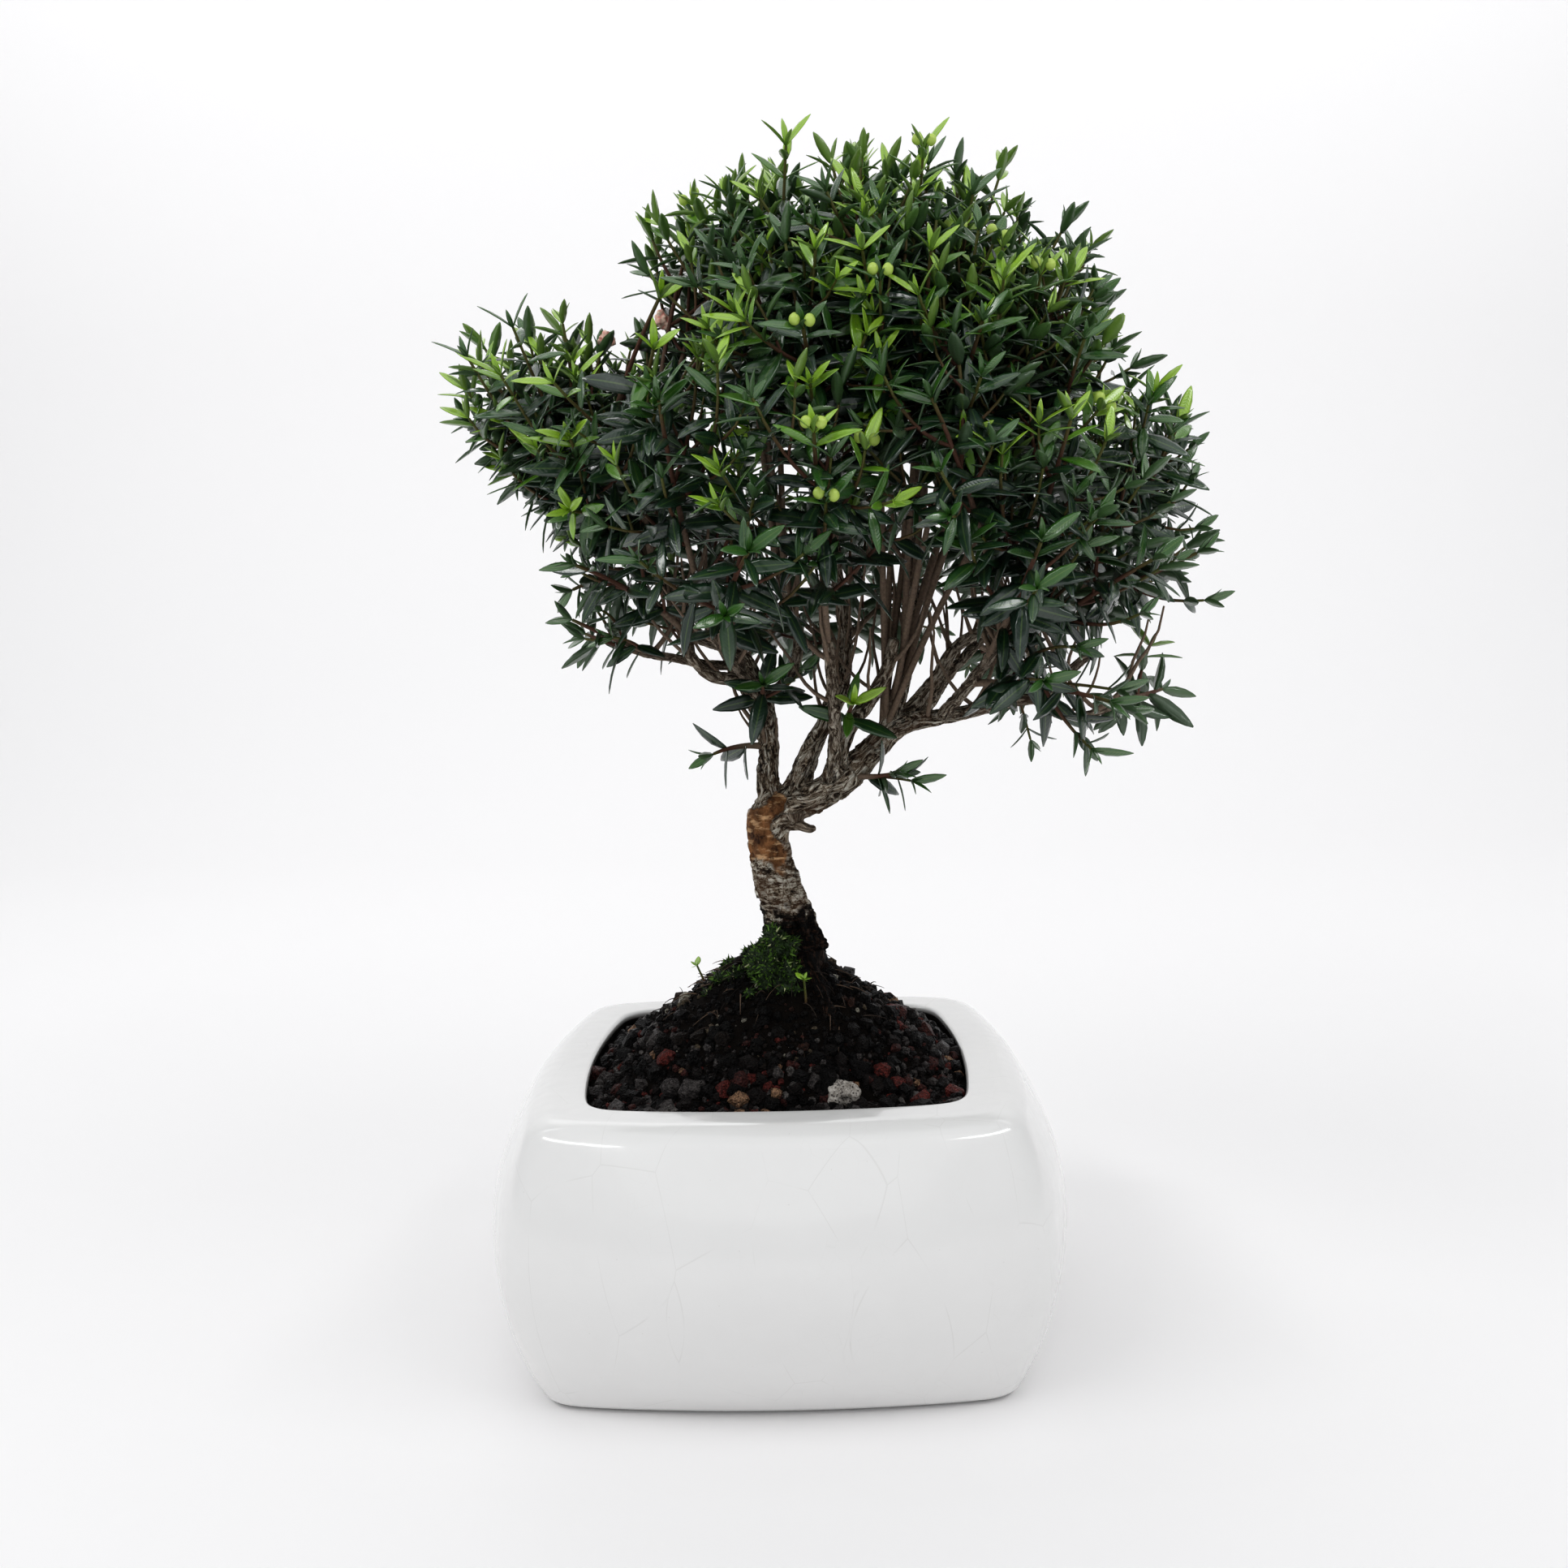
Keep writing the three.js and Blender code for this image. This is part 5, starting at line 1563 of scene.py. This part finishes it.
def grow_shoot(points, bare_length, seed, vigour, leaves, habit):
    """Pairs of leaves from the end of the bare wood to the tip, then a star of small ones.

    It gives back place, heading, side and share of the length of every pair.
    """
    headings, sides = shoot_frames(points)
    total = chain_length(points)
    sun = clamp((points[-1].z - SHADE_LEVEL) / SUN_RISE)
    flush = draw(seed, 31) < habit["flush"] * (0.4 + sun)
    gone = bare_length + FIRST_LEAF_GAP
    pair = 0
    nodes = []
    while gone < total - LAST_LEAF_GAP:
        place, share = along_chain(points, gone)
        middle = points[place].lerp(points[place + 1], share)
        heading, level = headings[place], sides[place]
        young = max(0.0, 1 - (total - gone) / TIP_TAPER)
        turn = math.pi / 2 * (pair % 2) + spread(-0.3, 0.3, seed, pair + 40)
        outward = Matrix.Rotation(turn, 3, heading) @ level
        nodes.append((middle, heading, outward, gone / total))
        for half in (0, 1):
            out = outward if half == 0 else -outward
            number = 2 * pair + half
            if draw(seed, number + 60) < habit["missing"] * (1 - young):
                continue
            if hides_flower(middle + out * 7) or hides_flower(middle):
                continue
            lean = math.radians(spread(58, 84, seed, number + 80) - 24 * young)
            along = (leaned(heading, out, lean) - UP * habit["droop"] * (1 - young)).normalized()
            roll = Matrix.Rotation(spread(-0.45, 0.45, seed, number + 100), 3, along)
            face = roll @ face_of(along, heading)
            size = spread(0.8, 1.15, seed, number + 120) * vigour * (1 - 0.4 * young)
            kind = YOUNG_KIND + number % 2 if young > 0.45 else int(YOUNG_KIND * draw(seed, number + 140))
            tint = (0.15 + 0.2 * sun) * draw(seed, number + 160) + young * (0.8 if flush else 0.2)
            leaves.add(middle, along, face, size, kind, min(tint, 1.0))
        gone += habit["spacing"] * (1 - 0.42 * young) * spread(0.85, 1.15, seed, pair + 180)
        pair += 1
    tip_star(points[-1], headings[-1], sides[-1], seed, vigour, leaves, 0.95 if flush else 0.4)
    return nodes


# %% Growing one spray
# Each habit: share of shoots in fresh growth, share of leaves missing, how far leaves hang, the
# spacing of the pairs, how far side shoots rise, and whether short spurs fill the spray
HABITS = {
    "crest": {"flush": 0.6, "missing": 0.08, "droop": 0.12, "spacing": 5.6, "lift": 0.3, "spurs": 0},
    "upright": {"flush": 0.4, "missing": 0.08, "droop": 0.16, "spacing": 6.0, "lift": 0.2, "spurs": 1},
    "lower": {"flush": 0.25, "missing": 0.3, "droop": 0.35, "spacing": 6.4, "lift": 0.1, "spurs": 0},
    "low": {"flush": 0.15, "missing": 0.3, "droop": 0.65, "spacing": 6.0, "lift": -0.1, "spurs": 0},
}
SIDE_SHOOT_SHORTEST = 14
SIDE_SHOOT_LONGEST = 44
SIDE_SHOOT_SHARE = 0.66
SPUR_LENGTH = 15
# How far out shoots may reach, 1 on the dome
DOME_LIMIT = 1.03
CREST_LIMIT = 1.16
LOW_SPRAYS = ("right_skirt", "left_skirt", "left_limb", "bend")
tips = []


def habit_of(name):
    if name.startswith(LOW_SPRAYS):
        return HABITS["low"]
    for start in ("crest", "lower"):
        if name.startswith(start):
            return HABITS[start]
    return HABITS["upright"]


def past_dome(point):
    """How far out a point lies, 1 on the dome."""
    way = Vector([(point[i] - CROWN_CENTRE[i]) / CROWN_RADII[i] for i in range(3)])
    rise = math.degrees(math.asin(way.z / way.length))
    edge = crown_point(math.degrees(math.atan2(way.y, way.x)), rise)
    reach = Vector([(edge[i] - CROWN_CENTRE[i]) / CROWN_RADII[i] for i in range(3)])
    return way.length / reach.length


def side_shoot(start, heading, outward, length, lift, seed, limit=DOME_LIMIT):
    aside, ahead = spread(0.45, 0.85, seed, 3), spread(0.6, 0.9, seed, 4)
    reach = heading * ahead + outward * aside + UP * lift
    while length > SIDE_SHOOT_SHORTEST and past_dome(start + reach * length) > limit:
        length *= 0.85
    bend = start + (heading * 0.3 + outward * 0.42) * length
    return bend_curve(start, bend, start + reach * length, 7)


def grow_spray(plan, stems, leaves):
    name, number, start, bend, tip, bare = plan
    habit = habit_of(name)
    seed = 1000 * number
    twig = bend_curve(start, bend, tip, 15)
    length = chain_length(twig)
    shares = np.linspace(0, 1, len(twig))
    stems.add(twig, 1.2 - 0.7 * shares, 1 - 0.85 * np.maximum(0, shares - bare) / (1 - bare))
    nodes = grow_shoot(twig, bare * length, seed, 1.05, leaves, habit)
    tips.append((twig[-1], (twig[-1] - twig[-2]).normalized()))
    for place, (middle, heading, outward, share) in enumerate(nodes[:-2]):
        half = 1 if (place // 2) % 2 else -1
        size = SIDE_SHOOT_SHORTEST + SIDE_SHOOT_SHARE * (1 - share) * length
        size = min(size, SIDE_SHOOT_LONGEST, 0.62 * length) * spread(0.75, 1.15, seed, place + 260)
        limit = CREST_LIMIT if habit is HABITS["crest"] else spread(0.97, 1.07, seed, place + 300)
        shoot = side_shoot(middle, heading, outward * half, size, habit["lift"], seed + place, limit)
        if hides_flower(shoot[-1]) or hides_flower(shoot[3]):
            continue
        stems.add(shoot, np.linspace(0.62, 0.4, 7), np.linspace(0.45, 0.1, 7))
        buds = grow_shoot(shoot, 1.5, seed + 10 * place + 5, 0.94, leaves, habit)
        tips.append((shoot[-1], (shoot[-1] - shoot[-2]).normalized()))
        for count, (fork, ahead, aside, _) in enumerate(buds[1:-2:2] if habit["spurs"] else []):
            spur_seed = seed + 10 * place + 7 * count + 501
            way = aside * (1 if draw(spur_seed, 2) < 0.5 else -1)
            spur = side_shoot(fork, ahead, way, SPUR_LENGTH, habit["lift"], spur_seed)
            if hides_flower(spur[-1]):
                continue
            stems.add(spur[::2], np.linspace(0.45, 0.35, 4), np.linspace(0.35, 0.1, 4))
            grow_shoot(spur, 1.0, spur_seed, 0.85, leaves, habit)


# %% Sprays as pieces
twigs = Stems()
leaf_shapes = shelf("leaf_shapes", [leaf_shape(kind) for kind in range(len(LEAF_KINDS))])
foliage = foliage_tree()
leaf_material = leaf_finish()
leaf_count = 0
for plan in PLANS:
    leaves = Leaves()
    grow_spray(plan, twigs, leaves)
    leaf_count += len(leaves.places)
    spray = leaves.cloud(f"leaves_{plan[0]}")
    apply_tree(spray, foliage, Shapes=leaf_shapes, Finish=leaf_material)
    node = f"spray_{plan[0]}"
    settle(spray, "leaf", *([node] if node in frame["nodes"] else []))
print("leaves", leaf_count, "shoot tips", len(tips))

# %% Bare twigs inside the crown
BARE_TWIGS_PER_LIMB = 5
for number, name in enumerate(LIMBS):
    for count in range(BARE_TWIGS_PER_LIMB):
        seed = 40 * number + count
        start = point_on_limb(name, spread(0.05, 0.62, seed, 401) * limb_length(name))
        angle = spread(0, 2 * math.pi, seed, 402)
        out = Vector((math.cos(angle), math.sin(angle), 0)) * spread(0.15, 0.6, seed, 403)
        length = spread(18, 46, seed, 404)
        bend = start + (out * 1.2 + UP * 0.25) * length * 0.5
        tip = start + (out + UP * spread(0.6, 1.0, seed, 405)) * length
        kinked = [
            point + Vector(noise.noise_vector(point * 0.09)) * 2.2 * share
            for point, share in zip(bend_curve(start, bend, tip, 9), np.linspace(0, 1, 9))
        ]
        twigs.add(kinked, np.linspace(spread(0.6, 1.0, seed, 406), 0.3, 9), [0.9] * 9)
settle(twigs.piece("twigs", 5, twig_finish()), "bark")


# %% [markdown]
# ## Small plants on the mound
#
# Two seedlings stand on thread-thin stalks. Their seed leaves are rounder than the tree's, so they
# get a leaf shape of their own, hung by the same tree of nodes. Fine roots poke out of the mound
# too, as short curved fibres.

# %% Seedlings
SEEDLINGS = {
    "seedling_tall": [(-22, -2, 103), (-22.5, -2.2, 104), (-24, -3, 108)],
    "seedling_front": [(9, -18, 99), (9, -18.5, 102), (8.5, -19.5, 107)],
}
# Lean in degrees and size of the two inner and the two outer leaves
SEED_LEAF_LEANS = (34, 66)
SEED_LEAF_SIZES = (0.15, 0.24)


def seedling(name, route, number):
    stalks = Stems()
    stalk = bend_curve(*route, 9)
    stalks.add(stalk, np.linspace(0.42, 0.3, 9), np.linspace(0.3, 0.0, 9))
    settle(stalks.piece(f"{name}_stalk", 6, stalk_finish), "seedling")
    heading = (stalk[-1] - stalk[-2]).normalized()
    level = heading.cross(Vector((0.3, 1, 0))).normalized()
    leaves = Leaves()
    for half in range(4):
        out = Matrix.Rotation(math.pi / 2 * half + number, 3, heading) @ level
        along = leaned(heading, out, math.radians(SEED_LEAF_LEANS[half % 2])).normalized()
        size = SEED_LEAF_SIZES[half % 2]
        leaves.add(stalk[-1], along, face_of(along, heading), size, SEED_LEAF_KIND, 0.9)
    cloud = leaves.cloud(name + "_leaves")
    apply_tree(cloud, foliage, Shapes=leaf_shapes, Finish=leaf_material)
    settle(cloud, "seedling", name)


stalk_finish = twig_finish()
for number, (name, route) in enumerate(SEEDLINGS.items()):
    seedling(name, route, number)

# %% Root fibres
ROOT_FIBRES = 150
fibres = Stems()
for number in range(ROOT_FIBRES):
    angle = 2 * math.pi * draw(number, 301)
    reach = spread(9, 34, number, 302)
    x = MOUND_CENTRE[0] + reach * math.cos(angle)
    y = MOUND_CENTRE[1] + 0.85 * reach * math.sin(angle)
    turn = angle + spread(-0.9, 0.9, number, 303)
    run = Vector((math.cos(turn), math.sin(turn), 0)) * spread(3, 11, number, 304)
    start = Vector((x, y, soil_height(x, y) - 0.5))
    tip = start + run
    tip.z = soil_height(tip.x, tip.y) + spread(-0.5, 5.0, number, 305)
    bend = start.lerp(tip, 0.5) + UP * spread(0.5, 3.0, number, 306)
    girth = spread(0.12, 0.38, number, 307)
    fibres.add(bend_curve(start, bend, tip, 7), np.linspace(girth, 0.06, 7), [draw(number, 308)] * 7)
root_finish = Finish("root_fibre", Roughness=0.8)
root_finish.feed("Base Color", root_finish.mix(
    root_finish.attribute("age"), (0.012, 0.007, 0.005), (0.13, 0.085, 0.055)))
settle(fibres.piece("root_fibres", 4, root_finish.material), "soil")

# %% [markdown]
# ## Lumps: moss, pumice and withered flowers
#
# A ball of faces pushed in and out by noise stands for each soft or broken lump. The moss cushion
# then gets a coat of tiny shoots by the same scatter as the grit, with its tips turned out. The
# pale stone is frothy, so its skin is pitted by cells.

# %% Lumps
def lump(name, centre, radii, relief, fineness, material, level=5):
    made = bmesh.new()
    bmesh.ops.create_icosphere(made, subdivisions=level, radius=1)
    for vertex in made.verts:
        way = vertex.co.copy()
        place = Vector((way.x * radii[0], way.y * radii[1], way.z * radii[2]))
        rough = noise.fractal((place + Vector(centre)) * fineness, 0.9, 2.0, 5)
        vertex.co = (Vector(centre) + place + way * relief * rough) * MM
    return built_object(name, made, material)


def pumice():
    finish = Finish("pumice", Roughness=0.9)
    place = finish.place()
    pits = finish.between(finish.cells(place, 1.3), 0.08, 0.42)
    grain = finish.noise(place, 0.9, 5, 0.7)
    pale = finish.mix(finish.between(grain, 0.35, 0.65), (0.16, 0.14, 0.12), (0.52, 0.49, 0.45))
    # painted shade: the pits are painted dark
    finish.feed("Base Color", finish.mix(pits, (0.055, 0.045, 0.038), pale))
    finish.bump(pits + grain * 0.6, 0.5)
    return finish.material


STONE_CENTRE, STONE_RADII = (19, -41.5, 79.2), (5, 3.8, 3.4)
stone = lump("pale_stone", STONE_CENTRE, STONE_RADII, 1.5, 0.22, pumice())
settle(stone, "pumice", "pumice_stone")

# %% Moss
MOSS_CENTRE, MOSS_RADII, MOSS_RELIEF = (0, -7.5, 107.5), (7.8, 7.2, 12.5), 4.5
MOSS_TIPS_PER_SQUARE_METRE = 2600000.0
# Small patches, most of them on the mound's left slope: x, y and size
MOSS_PATCHES = [
    (-12, -7, 2.6), (-17, -4, 2.0), (-14, 3, 2.4), (-8, -15, 1.5), (-21, -7, 1.4), (6, -15, 1.2),
]


def moss_finish():
    finish = Finish("moss", Roughness=0.7)
    place = finish.place()
    tone = finish.attribute("tone")
    patch = finish.noise(place, 0.35, 3)
    dark = finish.mix(finish.between(patch, 0.35, 0.65), (0.002, 0.006, 0.001), (0.016, 0.042, 0.005))
    colour = finish.mix(finish.between(tone, 0.5, 0.95), dark, (0.105, 0.215, 0.022))
    finish.feed("Base Color", finish.mix(finish.between(tone, 0.978, 0.982), colour, (0.48, 0.50, 0.28)))
    return finish.material


def moss_tip(kind):
    """A short pointed shoot with three sides."""
    corners = [(0.42 * math.cos(a), 0.42 * math.sin(a), 0) for a in (0, 2.1, 4.2)]
    lean = 0.3 * kind
    faces = [(0, 2, 1), (0, 1, 3), (1, 2, 3), (2, 0, 3)]
    return mesh_object(f"moss_tip_{kind}", corners + [(lean, 0.1, 1.6)], faces, smooth=False)


def moss_pair(name, centre, radii, relief, seed, *nodes):
    """A lumpy cushion and the coat of shoots that stands on it."""
    cushion = lump(f"{name}_cushion", centre, radii, relief, 0.14, moss_material, level=4)
    settle(cushion, "moss", *nodes)
    coat = lump(f"{name}_coat", centre, radii, relief, 0.14, moss_material, level=4)
    apply_tree(
        coat, scatter, Shapes=moss_tips, Per_Square_Metre=MOSS_TIPS_PER_SQUARE_METRE,
        Smallest=0.5, Largest=1.4, Lean=0.8, Seed=seed, Finish=moss_material)
    settle(coat, "moss")


moss_material = moss_finish()
moss_tips = shelf("moss_tips", [moss_tip(kind) for kind in range(3)])
moss_pair("moss", MOSS_CENTRE, MOSS_RADII, MOSS_RELIEF, 51, "moss")
for number, (x, y, size) in enumerate(MOSS_PATCHES):
    centre = (x, y, soil_height(x, y) + 0.2 * size)
    moss_pair(f"moss_patch_{number + 1}", centre, (size, 0.9 * size, 0.7 * size), 0.4 * size, 60 + number)
clear_shelf(moss_tips)


# %% Withered flowers and buds
FLOWER_STALK = 0.32


def withered():
    finish = Finish("withered_petal", Roughness=0.65)
    place = finish.place()
    crease = finish.noise(place, 0.8, 4, 0.6)
    pink = finish.mix(finish.between(crease, 0.35, 0.6), (0.85, 0.36, 0.30), (0.90, 0.74, 0.60))
    finish.feed("Base Color", finish.mix(finish.between(crease, 0.6, 0.72), pink, (0.42, 0.06, 0.06)))
    finish.bump(crease, 0.5)
    return finish.material


petal_material = withered()
stalks = Stems()
for name, centre in zip(("flower_upper", "flower_lower"), FLOWERS):
    bloom = lump(f"{name}_bloom", centre, (2.3, 2.2, 2.5), 1.1, 0.4, petal_material, level=4)
    settle(bloom, "petal", name)
    tip, _ = min(tips, key=lambda row: (row[0] - centre).length)
    stalks.add(bend_curve(tip, tip.lerp(centre, 0.5) + UP, centre, 7), [FLOWER_STALK] * 7, [0.2] * 7)

# %% Buds near their places in the photograph
BUD_AHEAD, BUD_ASIDE, BUD_RADII = 3.2, 1.9, (1.4, 1.4, 1.6)
# Shoot tips further back than this carry none, and nearer tips are taken first
BACK_LIMIT, DEPTH_WEIGHT = 20, 0.4
BUD_PIXELS = [
    (1056, 555), (1090, 597), (1153, 185), (838, 248), (1013, 410), (1110, 325), (868, 270),
    (1290, 320), (1180, 295), (1240, 300), (1060, 640), (1345, 500), (990, 560),
]
bud_material = Finish("bud", Base_Color=(0.46, 0.60, 0.13, 1), Roughness=0.35).material
front_tips = [tip for tip in tips if tip[0].y < BACK_LIMIT]
for number, pixel in enumerate(BUD_PIXELS):
    tip, heading = min(
        front_tips, key=lambda row: math.dist(photo_pixel(row[0]), pixel) + DEPTH_WEIGHT * row[0].y)
    for half in (-1, 1):
        out = heading.cross(Vector((0.2, 1, 0.3))).normalized() * half
        place = tip + heading * BUD_AHEAD + out * BUD_ASIDE
        stalks.add(bend_curve(tip, tip + heading * 2, place, 5), [0.28] * 5, [0.15] * 5)
        bud = lump(f"bud_{number}_{half + 1}", place, BUD_RADII, 0.1, 0.5, bud_material, level=3)
        settle(bud, "seedling")
settle(stalks.piece("flower_stalks", 6, stalk_finish), "bark")
clear_shelf(leaf_shapes)
clear_shelf(grains)

# %% Drain mesh
plastic = Finish("mesh_plastic", Base_Color=(0.02, 0.021, 0.02, 1), Roughness=0.5)
for name in ("drain_mesh_left", "drain_mesh_right"):
    slots = frame["nodes"][name].data.materials
    slots.clear()
    slots.append(plastic.material)
print("drain meshes painted")
